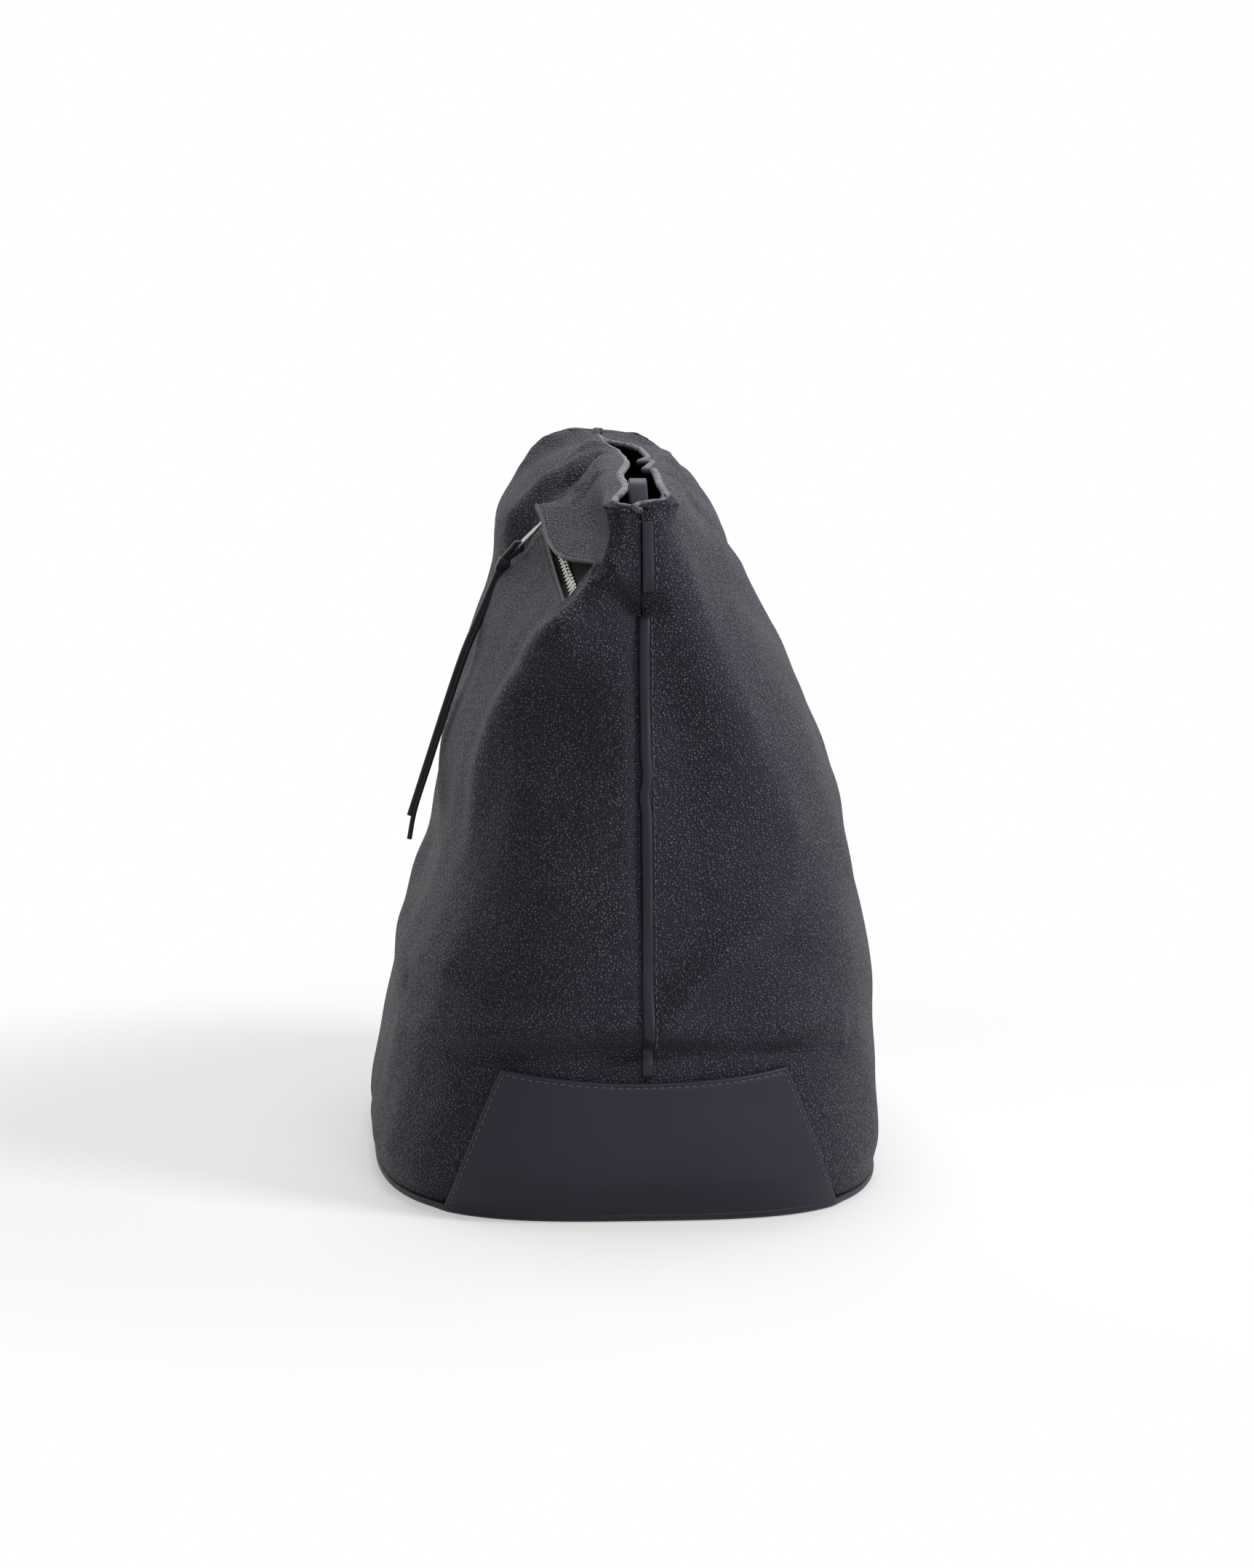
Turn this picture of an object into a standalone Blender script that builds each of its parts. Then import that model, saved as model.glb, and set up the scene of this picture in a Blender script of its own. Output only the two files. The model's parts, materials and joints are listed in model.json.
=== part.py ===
"""Soft leather hobo bag with a pinched open mouth and a zipped pocket on its front.

Frame: metres, +Z up, +X towards the end that faces the viewer, -Y towards the
zipped front.  The bag stands on its smooth leather base at z = 0.
"""
import math

import bmesh
import bpy
import numpy as np
from mathutils import Matrix, Vector

# Overall size of the soft body
BASE_HALF_LENGTH = 0.190
BASE_HALF_DEPTH = 0.118
BODY_HEIGHT = 0.340
MOUTH_HALF_WIDTH = 0.008
MOUTH_BOW = 0.0075
COLLAR_FLARE = 0.003

# Leather, lining and the clearance between sewn layers
CLEARANCE = 0.0003
PANEL_THICKNESS = 0.0020
LINING_THICKNESS = 0.0008
LINING_SLACK = 0.0026
SEAM_GAP = 0.0004

# Smooth base with its trapezoid end tabs
BASE_THICKNESS = 0.0037
BASE_EDGE_ROUND = 0.0028
BOARD_THICKNESS = 0.0030
TAB_THICKNESS = 0.0018
TAB_CLEARANCE = 0.0008
TAB_HEIGHT = 0.068
TAB_DIP = 0.006
TAB_FOOT_HALF_WIDTH = 0.093
TAB_TOP_HALF_WIDTH = 0.064

# Trim along the end seams and round the mouth
WELT_WIDTH = 0.0055
WELT_THICKNESS = 0.0014
RIM_RADIUS = 0.0015

# Shoulder strap, dropped into the bag
STRAP_WIDTH = 0.0085
STRAP_THICKNESS = 0.0024
STRAP_CREST_RISE = 0.0135
STRAP_FOLD_RADIUS = 0.0055
STRAP_STANDOFF = 0.024
STRAP_DRIFT = 0.006
ANCHOR_WIDTH = 0.016
ANCHOR_THICKNESS = 0.0020
ANCHOR_FOOT = 0.62
ANCHOR_TOP = 0.72

# Zip pocket
ZIP_LENGTH = 0.146
ZIP_WINDOW_WIDTH = 0.011
ZIP_NEAR_INSET = 0.044
ZIP_NEAR_DROP = 0.066
ZIP_SLOPE = math.radians(10.5)
ZIP_ROOF_PITCH = math.radians(52.0)
ZIP_TOE_IN = math.radians(1.5)
ZIP_FLAT_REACH = 0.022
ZIP_FLAT_FADE = 0.024
TAPE_WIDTH = 0.0100
TAPE_THICKNESS = 0.0006
CHAIN_WIDTH = 0.0054
CHAIN_THICKNESS = 0.0024
TOOTH_PITCH = 0.0031
TOOTH_WIDTH = 0.0011
SLIDER_LENGTH = 0.0105
SLIDER_WIDTH = 0.0086
SLIDER_PLATE = 0.0012
SLIDER_RUN_GAP = 0.0003
BRIDGE_RADIUS = 0.0007
BRIDGE_RISE = 0.0030
KNUCKLE_WALL = 0.0008
PULLER_LENGTH = 0.019
PULLER_WIDTH = 0.0056
PULLER_THICKNESS = 0.0012
PULLER_TILT = math.radians(6.0)
EYE_LENGTH = 0.0026
EYE_WIDTH = 0.0040
EYE_BAR = 0.0014
POCKET_DEPTH_OF_PLY = 0.0006
POCKET_SPACE = 0.0040
POCKET_MARGIN = 0.004
POCKET_DROP = 0.085

# Leather thong on the puller
THONG_WIDTH = 0.0033
THONG_THICKNESS = 0.0013
THONG_LEG_GAP = 0.0004
KEEPER_LENGTH = 0.0062
KEEPER_THICKNESS = 0.0010

# Mesh density
PANEL_COLUMNS = 34

# Courses of the wall from the base seam up to the mouth.  Each row gives the near end,
# the front, the back and the far end, then the place of the widest section, the roundness
# of both ends and how much of each end is a narrow U like the mouth.  Ends stand out from
# the base outline in metres; front and back run from 0 at the mouth to 1 at the base seam;
# heights run from 0 at the base seam to 1 at the crest.
COURSES = [
    (( 0.000, 0.000), (1.000, 0.000), (0.991, 0.000), ( 0.000, 0.000),  0.000, 3.3, 0.00, 3.3, 0.0),
    (( 0.006, 0.048), (1.027, 0.048), (1.009, 0.048), ( 0.005, 0.048),  0.000, 3.2, 0.00, 3.2, 0.0),
    (( 0.003, 0.185), (0.955, 0.173), (1.000, 0.173), ( 0.005, 0.173),  0.000, 3.0, 0.00, 3.0, 0.0),
    (( 0.006, 0.298), (0.873, 0.301), (0.973, 0.298), ( 0.003, 0.298), -0.010, 3.0, 0.00, 3.0, 0.0),
    (( 0.000, 0.440), (0.727, 0.435), (0.891, 0.435), (-0.002, 0.440), -0.020, 3.0, 0.00, 3.0, 0.0),
    ((-0.008, 0.583), (0.673, 0.583), (0.782, 0.577), (-0.008, 0.583), -0.035, 3.0, 0.00, 3.0, 0.0),
    ((-0.016, 0.708), (0.536, 0.711), (0.627, 0.702), (-0.014, 0.720), -0.055, 2.7, 0.05, 3.0, 0.0),
    ((-0.023, 0.804), (0.455, 0.807), (0.482, 0.798), (-0.019, 0.839), -0.070, 2.1, 0.15, 3.0, 0.0),
    ((-0.021, 0.863), (0.418, 0.893), (0.418, 0.878), (-0.024, 0.923), -0.085, 1.6, 0.20, 2.8, 0.0),
    ((-0.021, 0.899), (0.264, 0.958), (0.264, 0.946), (-0.034, 0.982), -0.085, 1.4, 0.30, 2.6, 0.0),
    ((-0.022, 0.914), (0.109, 0.982), (0.127, 0.976), (-0.044, 1.000), -0.070, 1.6, 0.50, 2.6, 0.3),
    ((-0.023, 0.920), (0.000, 0.967), (0.000, 0.967), (-0.056, 0.994),  0.000, 3.0, 1.00, 3.0, 1.0),
]
ROOF_SAG = 0.008
ROOF_SAG_SPAN = (0.78, 0.93, 1.0)


def leather_rows():
    """Courses in metres, with the share of wall length at each course."""
    foot = BASE_THICKNESS + CLEARANCE
    rise = BODY_HEIGHT - foot
    flare = BASE_HALF_DEPTH - MOUTH_HALF_WIDTH
    rows = []
    for near, front, back, far, widest, near_round, near_u, far_round, far_u in COURSES:
        rows.append([
            BASE_HALF_LENGTH + near[0], foot + rise * near[1],
            MOUTH_HALF_WIDTH + flare * front[0], foot + rise * front[1],
            MOUTH_HALF_WIDTH + flare * back[0], foot + rise * back[1],
            -BASE_HALF_LENGTH - far[0], foot + rise * far[1],
            widest, near_round, near_u, far_round, far_u,
        ])
    table = np.array(rows)
    front_steps = np.hypot(np.diff(table[:, 2]), np.diff(table[:, 3]))
    back_steps = np.hypot(np.diff(table[:, 4]), np.diff(table[:, 5]))
    climb = np.concatenate([[0.0], np.cumsum(front_steps + back_steps)])
    return table, climb / climb[-1]


TABLE, CLIMB = leather_rows()


def course(h):
    """Values of the course at wall share h, on a smooth curve through the table."""
    h = min(max(h, 0.0), 1.0)
    last = len(CLIMB) - 1
    i = min(max(int(np.searchsorted(CLIMB, h)) - 1, 0), last - 1)
    span = CLIMB[i + 1] - CLIMB[i]
    t = (h - CLIMB[i]) / span
    low = max(i - 1, 0)
    high = min(i + 2, last)
    slope_low = (TABLE[i + 1] - TABLE[low]) / (CLIMB[i + 1] - CLIMB[low]) * span
    slope_high = (TABLE[high] - TABLE[i]) / (CLIMB[high] - CLIMB[i]) * span
    start = (1 + 2 * t) * (1 - t) ** 2 * TABLE[i] + t * (1 - t) ** 2 * slope_low
    finish = t * t * (3 - 2 * t) * TABLE[i + 1] + t * t * (t - 1) * slope_high
    return start + finish


def smooth(value, low, high):
    """Smooth step from 0 at low to 1 at high."""
    t = np.clip((value - low) / (high - low), 0.0, 1.0)
    return t * t * (3 - 2 * t)


def half_outline(h, side):
    """Dense plan outline of one half of the wall, near seam to far seam."""
    (near_x, near_z, front_y, front_z, back_y, back_z, far_x, far_z,
     widest, near_round, near_u, far_round, far_u) = course(h)
    reach, level = (front_y, front_z) if side < 0 else (back_y, back_z)
    turn = np.linspace(0.0, math.pi, 161)
    cosine = np.cos(turn)
    share = np.abs(cosine) ** 0.8
    near = cosine >= 0
    end_x = np.where(near, near_x, far_x)
    end_z = np.where(near, near_z, far_z)
    rounding = np.where(near, near_round, far_round)
    u_part = np.where(near, near_u, far_u)
    x = widest + (end_x - widest) * share
    wide = np.clip(1 - share ** rounding, 0.0, 1.0) ** (1 / rounding)
    narrow = np.clip(1 - share ** 8, 0.0, 1.0) ** 0.125
    y = side * reach * (u_part * narrow + (1 - u_part) * wide)
    y += MOUTH_BOW * smooth(h, 0.8, 1.0) * (1 - share ** 2)
    flare = COLLAR_FLARE * smooth(h, 0.80, 0.95) * smooth(share, 0.5, 0.9)
    y += np.where(near, side * flare * narrow, 0.0)
    rise, peak, stop = ROOF_SAG_SPAN
    sag = ROOF_SAG * float(np.interp(h, [rise, peak, stop], [0.0, 1.0, 0.0]))
    z = level + (end_z - level) * share ** 1.6 - np.where(near, sag * 4 * share * (1 - share), 0.0)
    return np.stack([x, y, z], axis=1)


def raw_wall(h, stations):
    """Points of the wall at share h; stations run -1..0 on the front and 0..1 on the back."""
    points = np.zeros((len(stations), 3))
    wrapped = (np.asarray(stations) + 1.0) % 2.0 - 1.0
    for side in (-1, 1):
        outline = half_outline(h, side)
        steps = np.linalg.norm(np.diff(outline, axis=0), axis=1)
        length = np.concatenate([[0.0], np.cumsum(steps)])
        chosen = wrapped < 0 if side < 0 else wrapped >= 0
        where = np.abs(wrapped[chosen]) * length[-1]
        for axis in range(3):
            points[chosen, axis] = np.interp(where, length, outline[:, axis])
    return points


def half_length(h, side=-1):
    """Length of one half of the wall outline at share h."""
    return float(np.linalg.norm(np.diff(half_outline(h, side), axis=0), axis=1).sum())


def zip_frame():
    """Matrix of the zip: X along it to the near end, Y up the roof, Z outwards."""
    near_x = BASE_HALF_LENGTH - ZIP_NEAR_INSET
    level = BODY_HEIGHT - ZIP_NEAR_DROP
    best = None
    for h in np.linspace(0.6, 0.9, 61):
        row = raw_wall(h, np.linspace(-0.5, -0.02, 97))
        gap = np.hypot(row[:, 0] - near_x, row[:, 2] - level)
        k = int(np.argmin(gap))
        if best is None or gap[k] < best[0]:
            best = (gap[k], row[k])
    near_end = Vector(best[1])
    along = Vector((1.0, math.tan(ZIP_TOE_IN), -math.tan(ZIP_SLOPE))).normalized()
    up_roof = Vector((0.0, math.cos(ZIP_ROOF_PITCH), math.sin(ZIP_ROOF_PITCH)))
    up_roof = (up_roof - along * up_roof.dot(along)).normalized()
    outward = along.cross(up_roof)
    middle = near_end - along * (ZIP_LENGTH / 2)
    matrix = Matrix((along, up_roof, outward)).transposed().to_4x4()
    matrix.translation = middle
    return matrix


ZIP = zip_frame()
ZIP_ORIGIN = np.array(ZIP.translation)
ZIP_AXES = np.array(ZIP.to_3x3())


def wall(h, stations):
    """Outer leather surface, lying flat round the zip."""
    points = raw_wall(h, stations)
    local = (points - ZIP_ORIGIN) @ ZIP_AXES
    beyond = np.maximum(np.abs(local[:, 0]) - ZIP_LENGTH / 2, 0.0)
    away = np.hypot(beyond, local[:, 1])
    wrapped = (np.asarray(stations) + 1.0) % 2.0 - 1.0
    hold = 1.0 - smooth(away, ZIP_FLAT_REACH, ZIP_FLAT_REACH + ZIP_FLAT_FADE)
    hold *= smooth(-wrapped, 0.01, 0.07)
    hold *= 1.0 - smooth(h, 0.93, 0.99)
    return points - (hold * local[:, 2])[:, None] * ZIP_AXES[:, 2]


def wall_normals(h, stations):
    """Outward normals of the wall."""
    step = 0.004
    stations = np.asarray(stations)
    across = wall(h, stations + step) - wall(h, stations - step)
    climb = wall(min(h + step, 1.0), stations) - wall(max(h - step, 0.0), stations)
    normals = np.cross(across, climb)
    return normals / np.linalg.norm(normals, axis=1)[:, None]


def wall_grid(heights, stations, offset):
    """Grid of wall points moved outwards by offset, a number or a function of (h, stations)."""
    rows = []
    for h in heights:
        amount = offset(h, stations) if callable(offset) else offset
        rows.append(wall(h, stations) + wall_normals(h, stations) * np.reshape(amount, (-1, 1)))
    return np.array(rows)


def share_at_height(level, station=0.0):
    """Wall share at which the wall reaches a height."""
    heights = np.linspace(0.0, 1.0, 201)
    levels = [raw_wall(h, [station])[0, 2] for h in heights]
    return float(np.interp(level, levels, heights))


def material(name, colour, roughness, metallic=0.0):
    """Principled material of one plain colour."""
    made = bpy.data.materials.new(name)
    made.use_nodes = True
    shader = made.node_tree.nodes["Principled BSDF"]
    shader.inputs["Base Color"].default_value = (*colour, 1.0)
    shader.inputs["Roughness"].default_value = roughness
    shader.inputs["Metallic"].default_value = metallic
    return made


def add_object(name, mesh_data, surface, matrix=None):
    """Object from (vertices, faces) or a bmesh, with all faces turned outwards."""
    mesh = bpy.data.meshes.new(name)
    if isinstance(mesh_data, bmesh.types.BMesh):
        body = mesh_data
    else:
        body = bmesh.new()
        vertices, faces = mesh_data
        made = [body.verts.new(vertex) for vertex in vertices]
        for face in faces:
            body.faces.new([made[index] for index in face])
    bmesh.ops.recalc_face_normals(body, faces=body.faces[:])
    body.to_mesh(mesh)
    body.free()
    mesh.materials.append(surface)
    piece = bpy.data.objects.new(name, mesh)
    bpy.context.scene.collection.objects.link(piece)
    if matrix is not None:
        piece.matrix_world = matrix
    return piece


def cut(piece, cutter, operation="DIFFERENCE"):
    """Boolean with a hidden second object."""
    cutter.hide_render = True
    cutter.display_type = "WIRE"
    modifier = piece.modifiers.new(cutter.name, "BOOLEAN")
    modifier.operation = operation
    modifier.object = cutter
    modifier.solver = "EXACT"


def apply_cuts(piece, cutters):
    """Bake the Booleans into the mesh and remove the cutters."""
    bpy.context.view_layer.update()
    graph = bpy.context.evaluated_depsgraph_get()
    baked = bpy.data.meshes.new_from_object(piece.evaluated_get(graph))
    piece.modifiers.clear()
    piece.data = baked
    for cutter in cutters:
        bpy.data.objects.remove(cutter, do_unlink=True)


def shell(outer, inner, round_trip=False):
    """Closed solid between two grids of the same shape."""
    rows, columns = outer.shape[:2]
    vertices = np.concatenate([outer.reshape(-1, 3), inner.reshape(-1, 3)])
    size = rows * columns
    faces = []
    column_steps = columns if round_trip else columns - 1
    for i in range(rows - 1):
        for j in range(column_steps):
            a = i * columns + j
            b = i * columns + (j + 1) % columns
            c, d = b + columns, a + columns
            faces.append((a, b, c, d))
            faces.append((a + size, d + size, c + size, b + size))
    for j in range(column_steps):
        for i in (0, rows - 1):
            a = i * columns + j
            b = i * columns + (j + 1) % columns
            faces.append((a, b, b + size, a + size))
    if not round_trip:
        for i in range(rows - 1):
            for j in (0, columns - 1):
                a = i * columns + j
                faces.append((a, a + columns, a + columns + size, a + size))
    return vertices, faces


def prism(outline, low, high):
    """Closed solid from a plan outline between two heights."""
    count = len(outline)
    vertices = [(x, y, z) for z in (low, high) for x, y in outline]
    faces = [tuple(range(count)), tuple(range(count, 2 * count))]
    for i in range(count):
        j = (i + 1) % count
        faces.append((i, j, j + count, i + count))
    return vertices, faces


def sweep(sections):
    """Closed solid through a list of equal rings of points, with flat ends."""
    count = len(sections[0])
    vertices = [tuple(point) for section in sections for point in section]
    faces = [tuple(range(count)), tuple(range(len(vertices) - count, len(vertices)))]
    for k in range(len(sections) - 1):
        for i in range(count):
            j = (i + 1) % count
            a, b = k * count + i, k * count + j
            faces.append((a, b, b + count, a + count))
    return vertices, faces


def stadium(length, width, points=6):
    """Outline of a slot with round ends, along X."""
    radius = width / 2
    reach = length / 2 - radius
    outline = []
    for sign, start in ((1, -math.pi / 2), (-1, math.pi / 2)):
        for k in range(points + 1):
            angle = start + math.pi * k / points
            outline.append((sign * reach + radius * math.cos(angle), radius * math.sin(angle)))
    return outline


def box(low, high):
    """Closed box between two corners."""
    outline = [(low[0], low[1]), (high[0], low[1]), (high[0], high[1]), (low[0], high[1])]
    return prism(outline, low[2], high[2])


def rod(start, finish, radius, level=0.0, sides=12):
    """Round bar along X at a height."""
    rings = []
    for x in (start, finish):
        ring = []
        for k in range(sides):
            angle = math.tau * k / sides
            ring.append((x, radius * math.cos(angle), level + radius * math.sin(angle)))
        rings.append(ring)
    return sweep(rings)


def welt_foot():
    """Wall share just above the base tabs, where the end welts start."""
    return share_at_height(TAB_HEIGHT + 0.0012)


def wall_heights():
    """Rows of the leather grid, closer together on the roof where the zip lies."""
    low = np.linspace(0.0, welt_foot(), 5)
    body = np.linspace(low[-1], 0.66, 7)[1:]
    roof = np.linspace(0.66, 1.0, 12)[1:]
    return np.concatenate([low, body, roof])


def panel_stations(side):
    """Columns of the leather grid on one half of the wall."""
    return np.linspace(0.0, 1.0, PANEL_COLUMNS + 1) * side


def make_panel(name, side, surface):
    """One leather half of the bag, from the near seam round to the far seam."""
    stations = panel_stations(side)
    heights = wall_heights()
    outer = wall_grid(heights, stations, 0.0)
    inner = wall_grid(heights, stations, -PANEL_THICKNESS)
    for grid in (outer, inner):
        grid[:, 0, 1] = side * SEAM_GAP / 2
        grid[:, -1, 1] = side * SEAM_GAP / 2
    return add_object(name, shell(outer, inner), surface)


def cut_zip_window(panel):
    """Slot in the front panel through which the zip shows."""
    outline = stadium(ZIP_LENGTH, ZIP_WINDOW_WIDTH)
    window = add_object("zip_window_cutter", prism(outline, -0.02, 0.02), panel.data.materials[0], ZIP)
    cut(panel, window)
    apply_cuts(panel, [window])


def make_mouth_rim(surface):
    """Rolled leather edge all round the mouth."""
    stations = np.concatenate([panel_stations(-1)[:0:-1], panel_stations(1)[:-1]])
    top = wall(1.0, stations)
    below = wall(0.985, stations)
    upward = top - below
    upward /= np.linalg.norm(upward, axis=1)[:, None]
    outward = wall_normals(1.0, stations)
    seat = top - outward * (PANEL_THICKNESS / 2) + upward * (CLEARANCE + RIM_RADIUS)
    sides = 5
    rings = []
    for k in range(sides):
        angle = math.tau * (k + 0.75) / sides
        rings.append(seat + RIM_RADIUS * (math.cos(angle) * outward + math.sin(angle) * upward))
    vertices = np.stack(rings, axis=1).reshape(-1, 3)
    faces = []
    for i in range(len(stations)):
        following = (i + 1) % len(stations)
        for k in range(sides):
            beside = (k + 1) % sides
            here = i * sides
            ahead = following * sides
            faces.append((here + k, here + beside, ahead + beside, ahead + k))
    return add_object("mouth_rim", (vertices, faces), surface)


def arc_stations(h, arcs):
    """Stations that lie given distances from an end seam, front negative and back positive."""
    return np.array([arc / half_length(h, -1 if arc < 0 else 1) for arc in arcs])


def patch(heights_of, arcs_of, rows, low_offset, high_offset, far=False):
    """Shell on the wall round an end seam; heights_of and arcs_of shape its outline."""
    grids = []
    for offset in (high_offset, low_offset):
        grid = []
        for t in np.linspace(0.0, 1.0, rows + 1):
            arcs = arcs_of(t)
            line = []
            for arc in arcs:
                h = heights_of(t, arc)
                station = arc_stations(h, [arc])
                if far:
                    station = 1.0 - station
                line.append((wall(h, station) + wall_normals(h, station) * offset)[0])
            grid.append(line)
        grids.append(np.array(grid))
    return shell(grids[0], grids[1])


def make_base_tab(name, far, surface):
    """Trapezoid tab of the base, turned up over one end of the body."""
    tab_share = share_at_height(TAB_HEIGHT, 1.0 if far else 0.0)
    dip = TAB_DIP / TAB_HEIGHT
    columns = 19

    def arcs_of(t):
        half = TAB_FOOT_HALF_WIDTH + (TAB_TOP_HALF_WIDTH - TAB_FOOT_HALF_WIDTH) * t
        return np.linspace(-half, half, columns)

    def heights_of(t, arc):
        inward = max(1.0 - (arc / TAB_TOP_HALF_WIDTH) ** 2, 0.0)
        return tab_share * t * (1.0 - dip * inward)

    vertices, faces = patch(heights_of, arcs_of, 8, TAB_CLEARANCE, TAB_CLEARANCE + TAB_THICKNESS, far)
    size = len(vertices) // 2
    for start in (0, size):
        vertices[start:start + columns, 2] = BASE_THICKNESS / 2
    return add_object(name, (vertices, faces), surface)


def base_outline(outset, count=56):
    """Plan outline of the base seam, moved outwards."""
    stations = np.linspace(-1.0, 1.0, count + 1)[:-1]
    points = wall(0.0, stations)[:, :2]
    tangent = np.roll(points, -1, axis=0) - np.roll(points, 1, axis=0)
    outward = np.stack([tangent[:, 1], -tangent[:, 0]], axis=1)
    outward /= np.linalg.norm(outward, axis=1)[:, None]
    return points + outward * outset


def make_base_panel(surface):
    """Smooth leather base with a rounded lower edge and its two end tabs."""
    edge = TAB_CLEARANCE + TAB_THICKNESS
    sections = []
    for k in range(4):
        angle = math.pi / 2 * k / 3
        outset = edge - BASE_EDGE_ROUND * (1 - math.sin(angle))
        level = BASE_EDGE_ROUND * (1 - math.cos(angle))
        sections.append([(x, y, level) for x, y in base_outline(outset)])
    sections.append([(x, y, BASE_THICKNESS) for x, y in base_outline(edge)])
    base = add_object("base_panel", sweep(sections), surface)
    tabs = [make_base_tab("near_tab", False, surface), make_base_tab("far_tab", True, surface)]
    for tab in tabs:
        cut(base, tab, "UNION")
    apply_cuts(base, tabs)
    return base


def make_base_board(surface):
    """Stiff board inside the bag, on the base."""
    inset = -(PANEL_THICKNESS + 2 * CLEARANCE)
    low = BASE_THICKNESS + CLEARANCE
    outline = [tuple(point) for point in base_outline(inset, 48)]
    return add_object("base_board", prism(outline, low, low + BOARD_THICKNESS), surface)


def make_welt(name, far, surface):
    """Raised strip over an end seam, from the tab up to the mouth."""
    heights = [h for h in wall_heights() if welt_foot() - 1e-6 < h < 0.96]
    half = WELT_WIDTH / 2

    def arcs_of(t):
        return np.array([-half, 0.0, half])

    def heights_of(t, arc):
        return heights[round(t * (len(heights) - 1))]

    low = CLEARANCE * 1.2
    solid = patch(heights_of, arcs_of, len(heights) - 1, low, low + WELT_THICKNESS, far)
    return add_object(name, solid, surface)


def pocket_half():
    """Half the length of the pocket bag along the zip."""
    return ZIP_LENGTH / 2 + POCKET_MARGIN


def pocket_share(h, stations):
    """How fully a place on the front wall lies over the zip pocket, 0 to 1."""
    local = (wall(h, stations) - ZIP_ORIGIN) @ ZIP_AXES
    along = 1.0 - smooth(np.abs(local[:, 0]), pocket_half(), pocket_half() + 0.016)
    below = smooth(local[:, 1], -POCKET_DROP - 0.045, -POCKET_DROP - 0.012)
    above = 1.0 - smooth(local[:, 1], 0.018, 0.032)
    wrapped = (np.asarray(stations) + 1.0) % 2.0 - 1.0
    return along * below * above * (wrapped < 0)


def pocket_room():
    """Depth that the pocket bag takes up behind the front panel."""
    return 3 * CLEARANCE + TAPE_THICKNESS + 2 * POCKET_DEPTH_OF_PLY + POCKET_SPACE


def lining_offset(h, stations):
    """Outer face of the lining, measured from the outer face of the leather."""
    slack = LINING_SLACK * (2.0 - smooth(h, 0.0, 0.10) - 0.75 * smooth(h, 0.90, 0.96))
    return -(PANEL_THICKNESS + CLEARANCE + slack + (pocket_room() + 0.001) * pocket_share(h, stations))


def lining_floor():
    """Underside of the lining, just above the base board."""
    return BASE_THICKNESS + BOARD_THICKNESS + 2 * CLEARANCE


def lining_mesh():
    """Rows, columns and the two grids of the lining."""
    stations = np.concatenate([panel_stations(-1)[:0:-2], panel_stations(1)[:-1:2]])
    low = share_at_height(lining_floor() + 0.006)
    lower = np.linspace(low, ANCHOR_FOOT, 8)
    anchor = np.linspace(ANCHOR_FOOT, ANCHOR_TOP, 3)[1:]
    upper = np.linspace(ANCHOR_TOP, 0.965, 7)[1:]
    heights = np.concatenate([lower, anchor, upper])
    outer = wall_grid(heights, stations, lining_offset)
    inner = wall_grid(heights, stations, lambda h, s: lining_offset(h, s) - LINING_THICKNESS)
    outer[0, :, 2] = lining_floor()
    inner[0, :, 2] = lining_floor() + LINING_THICKNESS
    return heights, stations, outer, inner


LINING = lining_mesh()


def make_lining(surface):
    """Open bag of lining cloth, closed at the bottom above the board."""
    heights, stations, outer, inner = LINING
    vertices, faces = shell(outer, inner, round_trip=True)
    columns = len(stations)
    size = len(vertices) // 2
    faces = [face for face in faces if not all(index % size < columns for index in face)]
    faces.append(tuple(range(columns)))
    faces.append(tuple(range(size, size + columns)))
    return add_object("lining", (vertices, faces), surface)


def lining_point(h, shift, far=False):
    """Point on the lining's inner face, shift metres along Y from an end seam."""
    heights, stations, outer, inner = LINING
    end = len(stations) // 2 if not far else 0
    neighbour = (end + (1 if (shift > 0) != far else -1)) % len(stations)
    rows = []
    for column in (end, neighbour):
        rows.append(np.array([np.interp(h, heights, inner[:, column, axis]) for axis in range(3)]))
    return rows[0] + (rows[1] - rows[0]) * (shift / (rows[1][1] - rows[0][1]))


def lining_inward(h, far=False):
    """Direction from an end seam into the bag."""
    return -wall_normals(h, np.array([1.0 if far else 0.0]))[0] * np.array((1.0, 0.0, 1.0))


def make_anchor(name, far, surface):
    """Leather tab sewn inside the bag below one end of the mouth, holding the strap."""
    half = ANCHOR_WIDTH / 2
    grids = []
    for depth in (CLEARANCE * 1.3, CLEARANCE * 1.3 + ANCHOR_THICKNESS):
        grid = []
        for h in np.linspace(ANCHOR_FOOT, ANCHOR_TOP, 3):
            inward = lining_inward(h, far)
            shifts = (STRAP_DRIFT - half, 0.0001, STRAP_DRIFT + half)
            grid.append([lining_point(h, shift, far) + inward * depth for shift in shifts])
        grids.append(np.array(grid))
    return add_object(name, shell(grids[0], grids[1]), surface)


def strap_seat(h, far=False):
    """Centre of the strap where it lies on its anchor."""
    inward = lining_inward(h, far)
    shifts = (STRAP_DRIFT - STRAP_WIDTH / 2, 0.0001, STRAP_DRIFT, STRAP_DRIFT + STRAP_WIDTH / 2)
    places = [lining_point(h, shift, far) for shift in shifts]
    bulge = max(float((place - places[2]) @ inward) for place in places)
    depth = CLEARANCE * 2.3 + ANCHOR_THICKNESS + STRAP_THICKNESS / 2 + bulge
    return places[2] + inward * depth


def arc_points(centre_x, centre_z, radius, start, finish, count):
    """Points of an arc in the XZ plane, angles in degrees."""
    points = []
    for angle in np.radians(np.linspace(start, finish, count)):
        x = centre_x + radius * math.cos(angle)
        z = centre_z + radius * math.sin(angle)
        points.append(np.array((x, 0.0, z)))
    return points


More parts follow.
